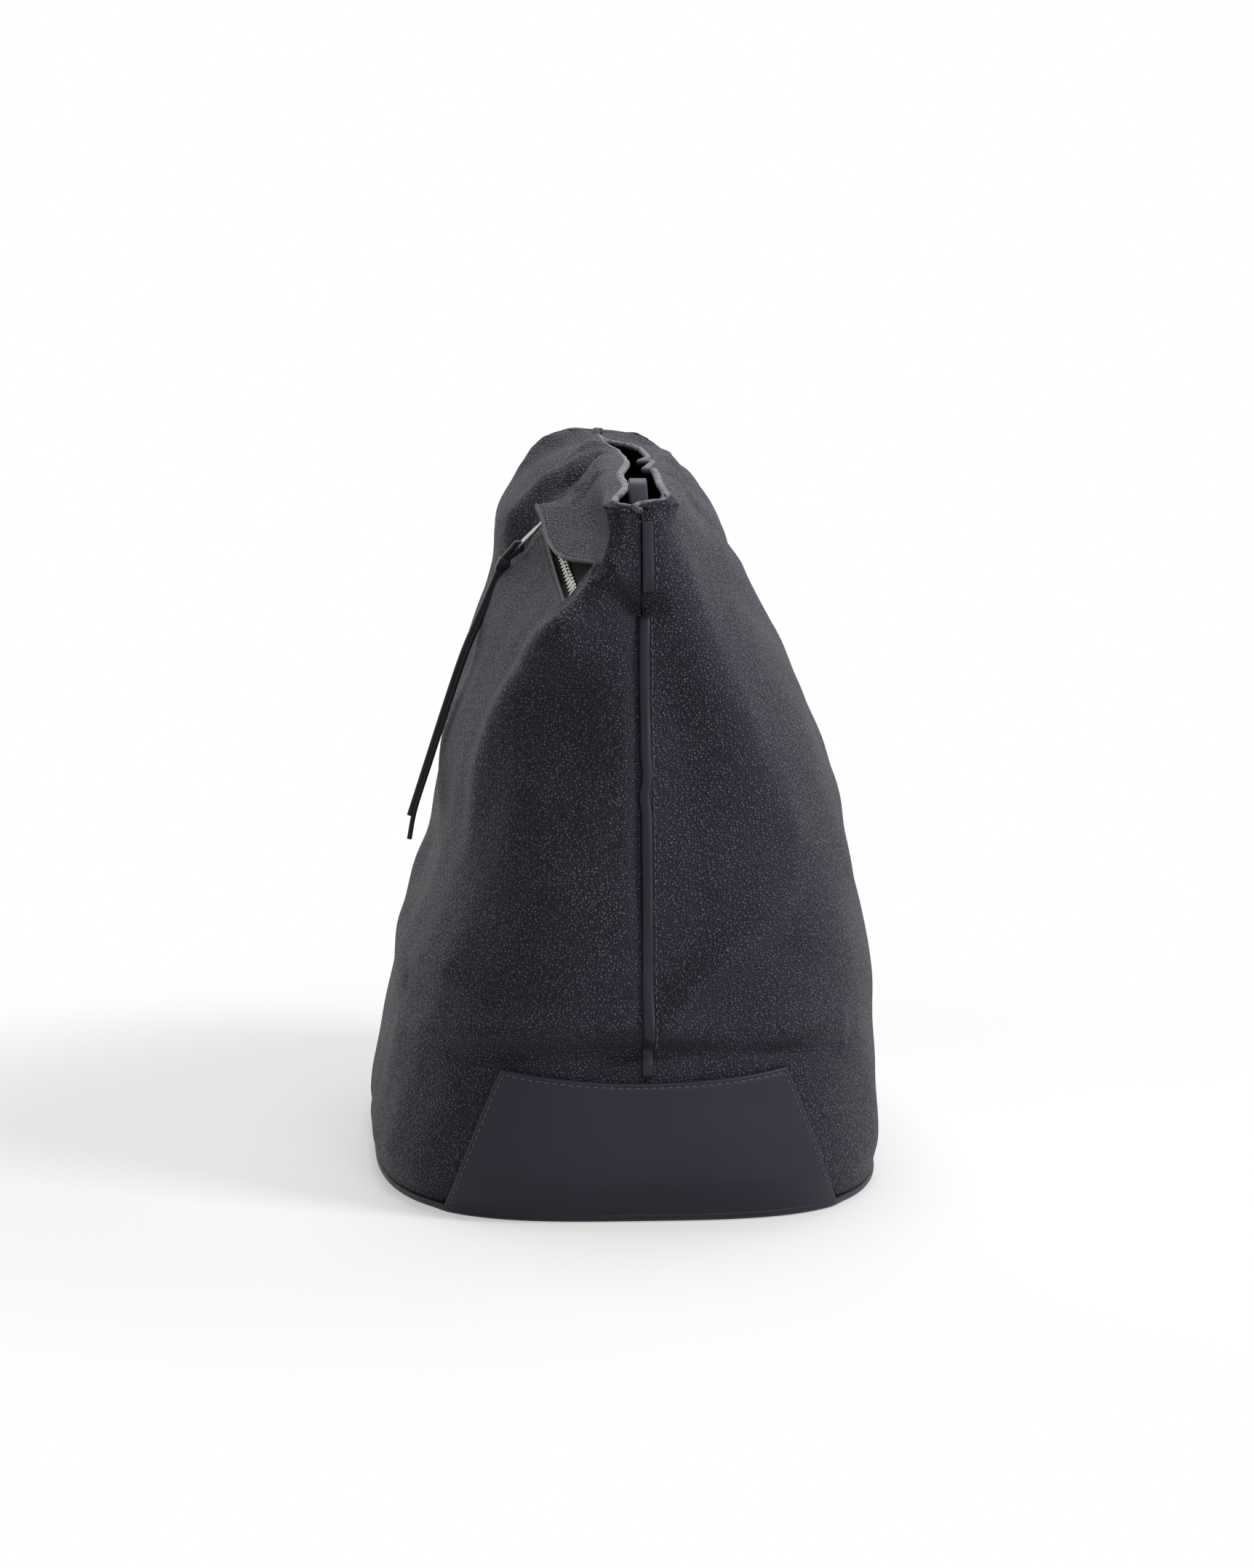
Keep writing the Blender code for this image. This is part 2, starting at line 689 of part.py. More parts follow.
def strap_route():
    """Centre line of the strap: near anchor, fold at the mouth, floor of the bag, far anchor."""
    anchor_rows = np.linspace(ANCHOR_FOOT, ANCHOR_TOP, 3)
    hang_rows = (0.60, 0.45, 0.30, 0.18)
    bend = 0.030
    floor = lining_floor() + LINING_THICKNESS + CLEARANCE + STRAP_THICKNESS / 2
    collar = wall(1.0, np.array([0.0]))[0]
    crest = collar[2] + STRAP_CREST_RISE - STRAP_THICKNESS / 2
    fold_x = collar[0] - STRAP_STANDOFF
    route = [strap_seat(h) for h in anchor_rows]
    route += arc_points(fold_x, crest - STRAP_FOLD_RADIUS, STRAP_FOLD_RADIUS, 0, 180, 7)
    route += [lining_point(h, 0.0001) + lining_inward(h) * STRAP_STANDOFF for h in hang_rows]
    route += arc_points(route[-1][0] - bend, floor + bend, bend, 0, -90, 5)[1:]
    far_hang = []
    for h in hang_rows[::-1]:
        far_hang.append(lining_point(h, 0.0001, True) + lining_inward(h, True) * STRAP_STANDOFF)
    route += arc_points(far_hang[0][0] + bend, floor + bend, bend, -90, -180, 5)[:-1]
    route += far_hang[:-1] + [strap_seat(h, True) for h in anchor_rows]
    drift = [STRAP_DRIFT * float(smooth(crest - point[2], 0.006, 0.025)) for point in route]
    return [Vector((point[0], shift, point[2])) for point, shift in zip(route, drift)]


def make_strap(surface):
    """Flat shoulder strap swept along its route."""
    route = strap_route()
    half_width = STRAP_WIDTH / 2
    half_thick = STRAP_THICKNESS / 2
    sections = []
    for k, point in enumerate(route):
        before = route[max(k - 1, 0)]
        after = route[min(k + 1, len(route) - 1)]
        heading = (after - before).normalized()
        face = heading.cross(Vector((0.0, 1.0, 0.0))).normalized()
        side = face.cross(heading)
        sections.append([
            point + side * half_width + face * half_thick,
            point - side * half_width + face * half_thick,
            point - side * half_width - face * half_thick,
            point + side * half_width - face * half_thick,
        ])
    return add_object("shoulder_strap", sweep(sections), surface)


def tape_level():
    """Middle of the zip tape below the outer face of the leather."""
    return -(PANEL_THICKNESS + CLEARANCE + TAPE_THICKNESS / 2)


def slider_rest():
    """Place of the slider along the zip when the pocket is shut."""
    return -(ZIP_LENGTH / 2 - ZIP_WINDOW_WIDTH / 2 - SLIDER_LENGTH / 2)


def chain_end():
    """Near end of the teeth, short of the rounded end of the window by the bottom stop."""
    return ZIP_LENGTH / 2 - ZIP_WINDOW_WIDTH / 2 - 0.0025


def slider_travel():
    """How far the slider runs from the shut pocket to the bottom stop."""
    return chain_end() - SLIDER_LENGTH / 2 - slider_rest()


def make_tapes(surface):
    """Two cloth tapes under the lips of the pocket."""
    middle = tape_level()
    reach = ZIP_LENGTH / 2 + 0.008
    near = CHAIN_WIDTH / 2 + CLEARANCE
    for name, side in (("zip_tape_upper", 1), ("zip_tape_lower", -1)):
        edges = sorted((side * near, side * (near + TAPE_WIDTH)))
        low = (-reach, edges[0], middle - TAPE_THICKNESS / 2)
        high = (reach, edges[1], middle + TAPE_THICKNESS / 2)
        add_object(name, box(low, high), surface, ZIP)


def tooth_row(side, first, last):
    """Outline of one row of teeth on its bead, with the tips past the middle line."""
    bead = CHAIN_WIDTH / 2
    root = bead - 0.0008
    tip = -0.0010
    start = first + (TOOTH_PITCH / 2 if side > 0 else 0.0)
    outline = [(first, side * bead), (first, side * root)]
    place = start + 0.0004
    while place + TOOTH_WIDTH < last:
        outline.append((place, side * root))
        outline.append((place + TOOTH_WIDTH * 0.12, side * tip))
        outline.append((place + TOOTH_WIDTH * 0.88, side * tip))
        outline.append((place + TOOTH_WIDTH, side * root))
        place += TOOTH_PITCH
    outline.append((last, side * root))
    outline.append((last, side * bead))
    return outline


def make_teeth(surface):
    """Two meshed rows of metal teeth."""
    level = tape_level()
    half = CHAIN_THICKNESS / 2
    first = slider_rest() - SLIDER_LENGTH / 2 + 0.0040
    last = chain_end()
    for name, side in (("zip_teeth_upper", 1), ("zip_teeth_lower", -1)):
        solid = prism(tooth_row(side, first, last), level - half, level + half)
        add_object(name, solid, surface, ZIP)


def make_stops(surface):
    """Bottom stop at the near end and a top stop on each tape at the far end."""
    level = tape_level()
    half = CHAIN_THICKNESS / 2
    near = chain_end() + CLEARANCE
    bottom = box((near, -CHAIN_WIDTH / 2, level - half), (near + 0.0025, CHAIN_WIDTH / 2, level + half))
    add_object("zip_bottom_stop", bottom, surface, ZIP)
    far = slider_rest() - SLIDER_LENGTH / 2 - CLEARANCE
    inner = CHAIN_WIDTH / 2 - 0.0012
    for name, side in (("zip_top_stop_upper", 1), ("zip_top_stop_lower", -1)):
        edges = sorted((side * inner, side * CHAIN_WIDTH / 2))
        stop = box((far - 0.0030, edges[0], level - half), (far, edges[1], level + half))
        add_object(name, stop, surface, ZIP)


def slider_plate_outline():
    """Outline of the slider, wider at the far end where the two rows part."""
    half = SLIDER_LENGTH / 2
    wide = SLIDER_WIDTH / 2
    slim = wide - 0.0006
    corner = 0.0013
    upper = [(half, slim - corner), (half - corner, slim), (-half + corner, wide), (-half, wide - corner)]
    lower = [(x, -y) for x, y in reversed(upper)]
    return upper + lower


def make_slider(surface):
    """Slider body: two plates joined by the dividing wedge, with lips and a bridge."""
    level = tape_level()
    half = SLIDER_LENGTH / 2
    run = CHAIN_THICKNESS / 2 + SLIDER_RUN_GAP
    top, bottom = level + run, level - run
    lip_start = CHAIN_WIDTH / 2 + SLIDER_RUN_GAP
    lip_end = SLIDER_WIDTH / 2 - 0.0006
    tape_gap = TAPE_THICKNESS / 2 + SLIDER_RUN_GAP
    place = ZIP @ Matrix.Translation((slider_rest(), 0.0, 0.0))
    body = add_object("zip_slider", prism(slider_plate_outline(), top, top + SLIDER_PLATE), surface, place)
    extras = [prism(slider_plate_outline(), bottom - SLIDER_PLATE, bottom)]
    wedge = [(-half + 0.0004, -0.0012), (-half + 0.0020, -0.0016), (-half + 0.0034, 0.0),
             (-half + 0.0020, 0.0016), (-half + 0.0004, 0.0012)]
    extras.append(prism(wedge, bottom - SLIDER_PLATE / 2, top + SLIDER_PLATE / 2))
    for side in (1, -1):
        edges = sorted((side * lip_start, side * lip_end))
        upper = (level + tape_gap, top + SLIDER_PLATE / 2)
        lower = (bottom - SLIDER_PLATE / 2, level - tape_gap)
        for low, high in (upper, lower):
            extras.append(box((-half + 0.0016, edges[0], low), (half - 0.0018, edges[1], high)))
    post_foot = top + SLIDER_PLATE / 2
    for sign in (1, -1):
        edges = sorted((sign * (half - 0.0032), sign * (half - 0.0018)))
        extras.append(box((edges[0], -0.0010, post_foot), (edges[1], 0.0010, BRIDGE_RISE + 0.0010)))
    extras.append(rod(-half + 0.0025, half - 0.0025, BRIDGE_RADIUS, BRIDGE_RISE))
    cutters = [add_object("slider_part", extra, surface, place) for extra in extras]
    for cutter in cutters:
        cut(body, cutter, "UNION")
    apply_cuts(body, cutters)
    return body


def puller_place():
    """Puller frame on the bridge: X along the zip, Y up the roof, Z outwards."""
    bridge = Matrix.Translation((slider_rest(), 0.0, BRIDGE_RISE))
    return ZIP @ bridge @ Matrix.Rotation(-PULLER_TILT, 4, "X")


def make_puller(surface):
    """Flat pull tab with a knuckle round the bridge and an eye for the thong."""
    place = puller_place()
    half = PULLER_THICKNESS / 2
    bore_radius = BRIDGE_RADIUS + CLEARANCE
    knuckle_half = SLIDER_LENGTH / 2 - 0.0032 - CLEARANCE
    knuckle = rod(-knuckle_half, knuckle_half, bore_radius + KNUCKLE_WALL, sides=16)
    body = add_object("zip_puller", knuckle, surface, place)
    wide = PULLER_WIDTH / 2
    neck = knuckle_half * 0.9
    corner = 0.0013
    right = [(wide - corner, -PULLER_LENGTH), (wide, -PULLER_LENGTH + corner), (wide, -0.0070),
             (neck, -0.0035), (neck, 0.0)]
    tab = right + [(-x, y) for x, y in reversed(right)]
    plate = add_object("puller_plate", prism(tab, -half, half), surface, place)
    hole = add_object("puller_bore", rod(-0.01, 0.01, bore_radius), surface, place)
    eye_low = -PULLER_LENGTH + EYE_BAR
    slot = box((-EYE_WIDTH / 2, eye_low, -0.01), (EYE_WIDTH / 2, eye_low + EYE_LENGTH, 0.01))
    eye = add_object("puller_eye", slot, surface, place)
    cut(body, plate, "UNION")
    cut(body, hole)
    cut(body, eye)
    apply_cuts(body, [plate, hole, eye])
    return body


def thong_pivot():
    """Middle of the bar below the puller's eye, round which the thong hangs."""
    return puller_place() @ Vector((0.0, -PULLER_LENGTH + EYE_BAR / 2, 0.0))


# Hanging line of the thong below the eye: distance outwards and distance down
THONG_HANG = [(0.0056, 0.0052), (0.0100, 0.0150), (0.0165, 0.0300), (0.0255, 0.0500),
              (0.0345, 0.0760), (0.0430, 0.1020), (0.0505, 0.1250)]
THONG_SHORT_TAIL = (0.0518, 0.1290)
THONG_LONG_TAIL = (0.0535, 0.1400)


def thong_lines():
    """Centre lines of the two legs, joined by the loop through the eye, in (out, down)."""
    spread = (THONG_THICKNESS + THONG_LEG_GAP) / 2
    loop_radius = math.hypot(EYE_BAR / 2, PULLER_THICKNESS / 2) + CLEARANCE + THONG_THICKNESS / 2
    first = Vector(THONG_HANG[0])
    lead = math.atan2(first.y, first.x)
    loop = []
    for k in range(9):
        angle = lead + math.radians(50) + math.radians(260) * k / 8
        loop.append(Vector((loop_radius * math.cos(angle), loop_radius * math.sin(angle))))
    legs = []
    for side, tail in ((1, THONG_LONG_TAIL), (-1, THONG_SHORT_TAIL)):
        line = [Vector(point) for point in THONG_HANG] + [Vector(tail)]
        leg = []
        for k, point in enumerate(line):
            heading = (line[min(k + 1, len(line) - 1)] - line[max(k - 1, 0)]).normalized()
            across = Vector((-heading.y, heading.x))
            leg.append(point + across * side * spread)
        legs.append(leg)
    return list(reversed(legs[0])) + loop + legs[1]


def thong_frame(turn):
    """Side, outward and downward directions: square to the zip at turn 0, upright at turn 1."""
    zip_side = Vector(ZIP_AXES[:, 0])
    side = zip_side.lerp(Vector((1.0, 0.0, 0.0)), turn).normalized()
    down = Vector((0.0, 0.0, -1.0))
    down = (down - side * down.dot(side)).normalized()
    return side, down.cross(side), down


def make_thong(surface):
    """Doubled leather thong in one piece, looped through the puller's eye."""
    half_width = THONG_WIDTH / 2
    half_thick = THONG_THICKNESS / 2
    line, sides = [], []
    for point in thong_lines():
        side, out, down = thong_frame(float(smooth(point.y, 0.012, 0.045)))
        line.append(out * point.x + down * point.y)
        sides.append(side)
    sections = []
    for k, point in enumerate(line):
        heading = (line[min(k + 1, len(line) - 1)] - line[max(k - 1, 0)]).normalized()
        side = (sides[k] - heading * sides[k].dot(heading)).normalized()
        face = heading.cross(side)
        sections.append([point + side * half_width + face * half_thick,
                         point - side * half_width + face * half_thick,
                         point - side * half_width - face * half_thick,
                         point + side * half_width - face * half_thick])
    return add_object("pull_thong", sweep(sections), surface, Matrix.Translation(thong_pivot()))


def make_keeper(surface):
    """Leather band that holds the two legs of the thong together below the eye."""
    start = Vector(THONG_HANG[0])
    heading = (Vector(THONG_HANG[1]) - start).normalized()
    side, out, down = thong_frame(0.0)
    along = out * heading.x + down * heading.y
    centre = start + heading * (KEEPER_LENGTH / 2 + 0.0006)
    place = Matrix((side, along.cross(side), along)).transposed().to_4x4()
    place.translation = thong_pivot() + out * centre.x + down * centre.y
    inner_x = THONG_WIDTH / 2 + CLEARANCE
    inner_y = THONG_THICKNESS + THONG_LEG_GAP / 2 + CLEARANCE
    outer_x = inner_x + KEEPER_THICKNESS
    outer_y = inner_y + KEEPER_THICKNESS
    half = KEEPER_LENGTH / 2
    band = box((-outer_x, -outer_y, -half), (outer_x, outer_y, half))
    band = add_object("thong_keeper", band, surface, place)
    hole = box((-inner_x, -inner_y, -0.02), (inner_x, inner_y, 0.02))
    hole = add_object("keeper_hole", hole, surface, place)
    cut(band, hole)
    apply_cuts(band, [hole])
    return band


def make_pocket_bag(surface):
    """Flat cloth pouch behind the front panel, open at the zip."""
    top = -(PANEL_THICKNESS + 2 * CLEARANCE + TAPE_THICKNESS)
    depth = 2 * POCKET_DEPTH_OF_PLY + POCKET_SPACE
    columns = 8

    def follow(inset, outer_depth, inner_depth):
        grids = []
        for level in (outer_depth, inner_depth):
            grid = []
            for drop in np.linspace(0.016 - inset, -POCKET_DROP + inset, columns):
                line = []
                for length in np.linspace(inset - pocket_half(), pocket_half() - inset, columns):
                    line.append(pocket_point(length, drop, level))
                grid.append(line)
            grids.append(np.array(grid))
        return shell(grids[0], grids[1])

    pouch = add_object("pocket_bag", follow(0.0, top, top - depth), surface)
    ply = POCKET_DEPTH_OF_PLY
    hollow = add_object("pocket_hollow", follow(0.0015, top - ply, top - depth + ply), surface)
    outline = stadium(ZIP_LENGTH, ZIP_WINDOW_WIDTH)
    mouth = add_object("pocket_mouth", prism(outline, top - ply * 2, 0.01), surface, ZIP)
    cut(pouch, hollow)
    cut(pouch, mouth)
    apply_cuts(pouch, [hollow, mouth])
    return pouch


def build_wall_finder():
    """Sampled front wall in zip coordinates, used to lay the pocket bag along it."""
    stations = np.linspace(-0.75, -0.01, 150)
    samples, normals = [], []
    for h in np.linspace(0.35, 0.97, 125):
        samples.append(wall(h, stations))
        normals.append(wall_normals(h, stations))
    samples = np.concatenate(samples)
    normals = np.concatenate(normals)
    return (samples - ZIP_ORIGIN) @ ZIP_AXES, normals @ ZIP_AXES


FINDER = build_wall_finder()


def pocket_point(length, drop, level):
    """Point behind the front wall, given along and across the zip and its depth."""
    places, directions = FINDER
    gap = np.hypot(places[:, 0] - length, places[:, 1] - drop)
    nearest = np.argsort(gap)[:6]
    weight = 1.0 / (gap[nearest] + 0.0005)
    weight /= weight.sum()
    height = float((places[nearest, 2] * weight).sum())
    direction = (directions[nearest] * weight[:, None]).sum(axis=0)
    direction /= np.linalg.norm(direction)
    local = np.array((length, drop, height)) + direction * level
    return ZIP_ORIGIN + ZIP_AXES @ local


def clear_scene():
    """Remove every object of the open file."""
    for item in list(bpy.data.objects):
        bpy.data.objects.remove(item, do_unlink=True)


def main():
    """Build every piece of the bag."""
    clear_scene()
    pebbled = material("pebbled_leather", (0.030, 0.029, 0.034), 0.55)
    smooth_leather = material("smooth_leather", (0.022, 0.022, 0.027), 0.45)
    edge_leather = material("turned_leather_edge", (0.050, 0.048, 0.054), 0.60)
    cloth = material("lining_cloth", (0.014, 0.014, 0.016), 0.90)
    tape = material("zip_tape_cloth", (0.008, 0.008, 0.009), 0.85)
    metal = material("nickel_metal", (0.78, 0.76, 0.72), 0.25, 1.0)
    board = material("grey_board", (0.16, 0.15, 0.14), 0.90)
    front = make_panel("front_panel", -1, pebbled)
    cut_zip_window(front)
    make_panel("back_panel", 1, pebbled)
    make_base_panel(smooth_leather)
    make_base_board(board)
    make_mouth_rim(edge_leather)
    make_welt("near_end_welt", False, smooth_leather)
    make_welt("far_end_welt", True, smooth_leather)
    make_lining(cloth)
    make_anchor("near_strap_anchor", False, smooth_leather)
    make_anchor("far_strap_anchor", True, smooth_leather)
    make_strap(smooth_leather)
    make_tapes(tape)
    make_teeth(metal)
    make_stops(metal)
    make_slider(metal)
    make_puller(metal)
    make_thong(smooth_leather)
    make_keeper(smooth_leather)
    make_pocket_bag(cloth)


main()
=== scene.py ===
"""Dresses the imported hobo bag: slumped leather body, trim, zip, thong, stitches and a white studio."""
import json
import math

import bmesh
import bpy
import numpy as np
from bpy.props import FloatProperty, FloatVectorProperty, PointerProperty
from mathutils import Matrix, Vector


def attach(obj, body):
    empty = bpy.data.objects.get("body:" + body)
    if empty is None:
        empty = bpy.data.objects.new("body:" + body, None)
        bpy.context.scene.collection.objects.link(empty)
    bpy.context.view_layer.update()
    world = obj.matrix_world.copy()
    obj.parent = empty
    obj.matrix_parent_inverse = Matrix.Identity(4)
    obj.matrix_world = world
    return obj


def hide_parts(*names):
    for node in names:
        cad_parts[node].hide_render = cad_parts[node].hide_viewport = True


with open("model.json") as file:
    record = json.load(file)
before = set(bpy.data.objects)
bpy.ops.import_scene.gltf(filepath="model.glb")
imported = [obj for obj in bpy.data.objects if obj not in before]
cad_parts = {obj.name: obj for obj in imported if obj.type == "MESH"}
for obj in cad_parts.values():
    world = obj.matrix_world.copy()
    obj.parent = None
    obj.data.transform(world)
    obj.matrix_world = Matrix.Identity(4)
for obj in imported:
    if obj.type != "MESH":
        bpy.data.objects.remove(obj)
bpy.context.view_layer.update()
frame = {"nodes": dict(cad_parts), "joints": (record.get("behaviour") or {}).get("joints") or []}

bl_info = {
    "name": "Leather hobo bag",
    "version": (1, 0, 0),
    "blender": (4, 5, 0),
    "location": "3D View > Sidebar > Hobo bag",
    "description": "Dresses the CAD frame of a soft leather hobo bag and sets up its studio",
    "category": "Object",
}

JOINTS = {joint["name"]: joint for joint in frame["joints"]}
MM = 1000  # millimetres in a metre
FRONT, BOTH, BACK = -1, 0, 1


def linear(code):
    """Linear RGBA of an sRGB hex code."""
    values = [int(code[k:k + 2], 16) / 255 for k in (1, 3, 5)]
    return (*[v / 12.92 if v <= 0.04045 else ((v + 0.055) / 1.055) ** 2.4 for v in values], 1.0)


def colour_choice(label, text, code):
    """A colour that the user may change."""
    return FloatVectorProperty(
        name=label, description=text, subtype="COLOR", size=4, min=0.0, max=1.0, default=linear(code))


def size_choice(label, text, value):
    """A length that the user may change, in metres."""
    return FloatProperty(name=label, description=text, unit="LENGTH", precision=5, min=0.0, default=value)


# Wall of the bag, with the sizes of the part's source

BASE_HALF_LENGTH = 0.190
BASE_HALF_DEPTH = 0.118
BODY_HEIGHT = 0.340
MOUTH_HALF_WIDTH = 0.008
MOUTH_BOW = 0.0075
MOUTH_BOW_SHARES = (0.8, 1.0)
COLLAR_FLARE = 0.003
COLLAR_FLARE_SHARES = (0.80, 0.95)
COLLAR_FLARE_ENDS = (0.5, 0.9)
CLEARANCE = 0.0003
BASE_THICKNESS = 0.0037
BASE_EDGE_ROUND = 0.0028
SEAM_GAP = 0.0004
TAB_OUTSET = 0.0026
TAB_HEIGHT = 0.068
TAB_DIP = 0.006
TAB_FOOT_HALF_WIDTH = 0.093
TAB_TOP_HALF_WIDTH = 0.064
ROOF_SAG = 0.008
ROOF_SAG_SPAN = (0.78, 0.93, 1.0)
OUTLINE_POINTS = 161
OUTLINE_BUNCHING = 0.8
NARROW_POWER = 8
END_RISE_POWER = 1.6
ZIP_LENGTH = 0.146
ZIP_WINDOW = 0.011
ZIP_NEAR_INSET = 0.044
ZIP_NEAR_DROP = 0.066
ZIP_SLOPE = math.radians(10.5)
ZIP_ROOF_PITCH = math.radians(52.0)
ZIP_TOE_IN = math.radians(1.5)
ZIP_SEARCH_STATIONS, ZIP_SEARCH_SHARES = np.linspace(-0.5, -0.02, 97), np.linspace(0.6, 0.9, 61)
ZIP_FLAT_REACH = 0.022
ZIP_FLAT_FADE = 0.024
ZIP_FLAT_STATIONS = (0.01, 0.07)
ZIP_FLAT_SHARES = (0.93, 0.99)
TAPE_LEVEL = -0.0026
CHAIN_WIDTH = 0.0054
CHAIN_THICKNESS = 0.0024
TOOTH_PITCH = 0.0031
CHAIN_ENDS = (-0.0635, 0.0650)

# Courses of the wall from the base seam to the mouth: near end, front, back and far end, then
# the place of the widest section, the roundness of both ends and their share of a narrow U
COURSES = [
    ((0.000, 0.000), (1.000, 0.000), (0.991, 0.000), (0.000, 0.000), 0.000, 3.3, 0.00, 3.3, 0.0),
    ((0.006, 0.048), (1.027, 0.048), (1.009, 0.048), (0.005, 0.048), 0.000, 3.2, 0.00, 3.2, 0.0),
    ((0.003, 0.185), (0.955, 0.173), (1.000, 0.173), (0.005, 0.173), 0.000, 3.0, 0.00, 3.0, 0.0),
    ((0.006, 0.298), (0.873, 0.301), (0.973, 0.298), (0.003, 0.298), -0.010, 3.0, 0.00, 3.0, 0.0),
    ((0.000, 0.440), (0.727, 0.435), (0.891, 0.435), (-0.002, 0.440), -0.020, 3.0, 0.00, 3.0, 0.0),
    ((-0.008, 0.583), (0.673, 0.583), (0.782, 0.577), (-0.008, 0.583), -0.035, 3.0, 0.00, 3.0, 0.0),
    ((-0.016, 0.708), (0.536, 0.711), (0.627, 0.702), (-0.014, 0.720), -0.055, 2.7, 0.05, 3.0, 0.0),
    ((-0.023, 0.804), (0.455, 0.807), (0.482, 0.798), (-0.019, 0.839), -0.070, 2.1, 0.15, 3.0, 0.0),
    ((-0.021, 0.863), (0.418, 0.893), (0.418, 0.878), (-0.024, 0.923), -0.085, 1.6, 0.20, 2.8, 0.0),
    ((-0.021, 0.899), (0.264, 0.958), (0.264, 0.946), (-0.034, 0.982), -0.085, 1.4, 0.30, 2.6, 0.0),
    ((-0.022, 0.914), (0.109, 0.982), (0.127, 0.976), (-0.044, 1.000), -0.070, 1.6, 0.50, 2.6, 0.3),
    ((-0.023, 0.920), (0.000, 0.967), (0.000, 0.967), (-0.056, 0.994), 0.000, 3.0, 1.00, 3.0, 1.0),
]


def leather_rows():
    """Courses in metres, with the share of wall length at each course."""
    foot = BASE_THICKNESS + CLEARANCE
    rise = BODY_HEIGHT - foot
    flare = BASE_HALF_DEPTH - MOUTH_HALF_WIDTH
    rows = []
    for near, front, back, far, widest, near_round, near_u, far_round, far_u in COURSES:
        rows.append([
            BASE_HALF_LENGTH + near[0], foot + rise * near[1],
            MOUTH_HALF_WIDTH + flare * front[0], foot + rise * front[1],
            MOUTH_HALF_WIDTH + flare * back[0], foot + rise * back[1],
            -BASE_HALF_LENGTH - far[0], foot + rise * far[1],
            widest, near_round, near_u, far_round, far_u,
        ])
    table = np.array(rows)
    steps = np.hypot(np.diff(table[:, 2]), np.diff(table[:, 3]))
    steps += np.hypot(np.diff(table[:, 4]), np.diff(table[:, 5]))
    climb = np.concatenate([[0.0], np.cumsum(steps)])
    return table, climb / climb[-1]


TABLE, CLIMB = leather_rows()


def course(h):
    """Values of the course at wall share h, on a smooth curve through the table."""
    h = min(max(h, 0.0), 1.0)
    last = len(CLIMB) - 1
    i = min(max(int(np.searchsorted(CLIMB, h)) - 1, 0), last - 1)
    span = CLIMB[i + 1] - CLIMB[i]
    t = (h - CLIMB[i]) / span
    low, high = max(i - 1, 0), min(i + 2, last)
    slope_low = (TABLE[i + 1] - TABLE[low]) / (CLIMB[i + 1] - CLIMB[low]) * span
    slope_high = (TABLE[high] - TABLE[i]) / (CLIMB[high] - CLIMB[i]) * span
    start = (1 + 2 * t) * (1 - t) ** 2 * TABLE[i] + t * (1 - t) ** 2 * slope_low
    return start + t * t * (3 - 2 * t) * TABLE[i + 1] + t * t * (t - 1) * slope_high


def smooth(value, low, high):
    """Smooth step from 0 at low to 1 at high."""
    t = np.clip((value - low) / (high - low), 0.0, 1.0)
    return t * t * (3 - 2 * t)


def unit(vectors):
    """Vectors, one to a row, at length 1."""
    return vectors / np.linalg.norm(vectors, axis=1)[:, None]


def run_length(line):
    """Length along a line of points up to each of them."""
    return np.concatenate([[0.0], np.cumsum(np.linalg.norm(np.diff(line, axis=0), axis=1))])


def half_outline(h, side):
    """Dense plan outline of one half of the wall, near seam to far seam."""
    (near_x, near_z, front_y, front_z, back_y, back_z, far_x, far_z,
     widest, near_round, near_u, far_round, far_u) = course(h)
    reach, level = (front_y, front_z) if side < 0 else (back_y, back_z)
    cosine = np.cos(np.linspace(0.0, math.pi, OUTLINE_POINTS))
    share = np.abs(cosine) ** OUTLINE_BUNCHING
    near = cosine >= 0
    end_x, end_z = np.where(near, near_x, far_x), np.where(near, near_z, far_z)
    rounding, u_part = np.where(near, near_round, far_round), np.where(near, near_u, far_u)
    x = widest + (end_x - widest) * share
    wide = np.clip(1 - share ** rounding, 0.0, 1.0) ** (1 / rounding)
    narrow = np.clip(1 - share ** NARROW_POWER, 0.0, 1.0) ** (1 / NARROW_POWER)
    y = side * reach * (u_part * narrow + (1 - u_part) * wide)
    y += MOUTH_BOW * smooth(h, *MOUTH_BOW_SHARES) * (1 - share ** 2)
    flare = COLLAR_FLARE * smooth(h, *COLLAR_FLARE_SHARES) * smooth(share, *COLLAR_FLARE_ENDS)
    y += np.where(near, side * flare * narrow, 0.0)
    sag = ROOF_SAG * float(np.interp(h, ROOF_SAG_SPAN, [0.0, 1.0, 0.0]))
    drop = np.where(near, sag * 4 * share * (1 - share), 0.0)
    z = level + (end_z - level) * share ** END_RISE_POWER - drop
    return np.stack([x, y, z], axis=1)


def half_length(h, side):
    """Length of one half of the wall outline at share h."""
    return float(np.linalg.norm(np.diff(half_outline(h, side), axis=0), axis=1).sum())


def raw_wall(h, stations):
    """Points of the wall; stations run -1..0 on the front and 0..1 on the back."""
    points = np.zeros((len(stations), 3))
    for side in (FRONT, BACK):
        outline = half_outline(h, side)
        length = run_length(outline)
        chosen = stations < 0 if side < 0 else stations >= 0
        place = np.abs(stations[chosen]) * length[-1]
        for axis in range(3):
            points[chosen, axis] = np.interp(place, length, outline[:, axis])
    return points


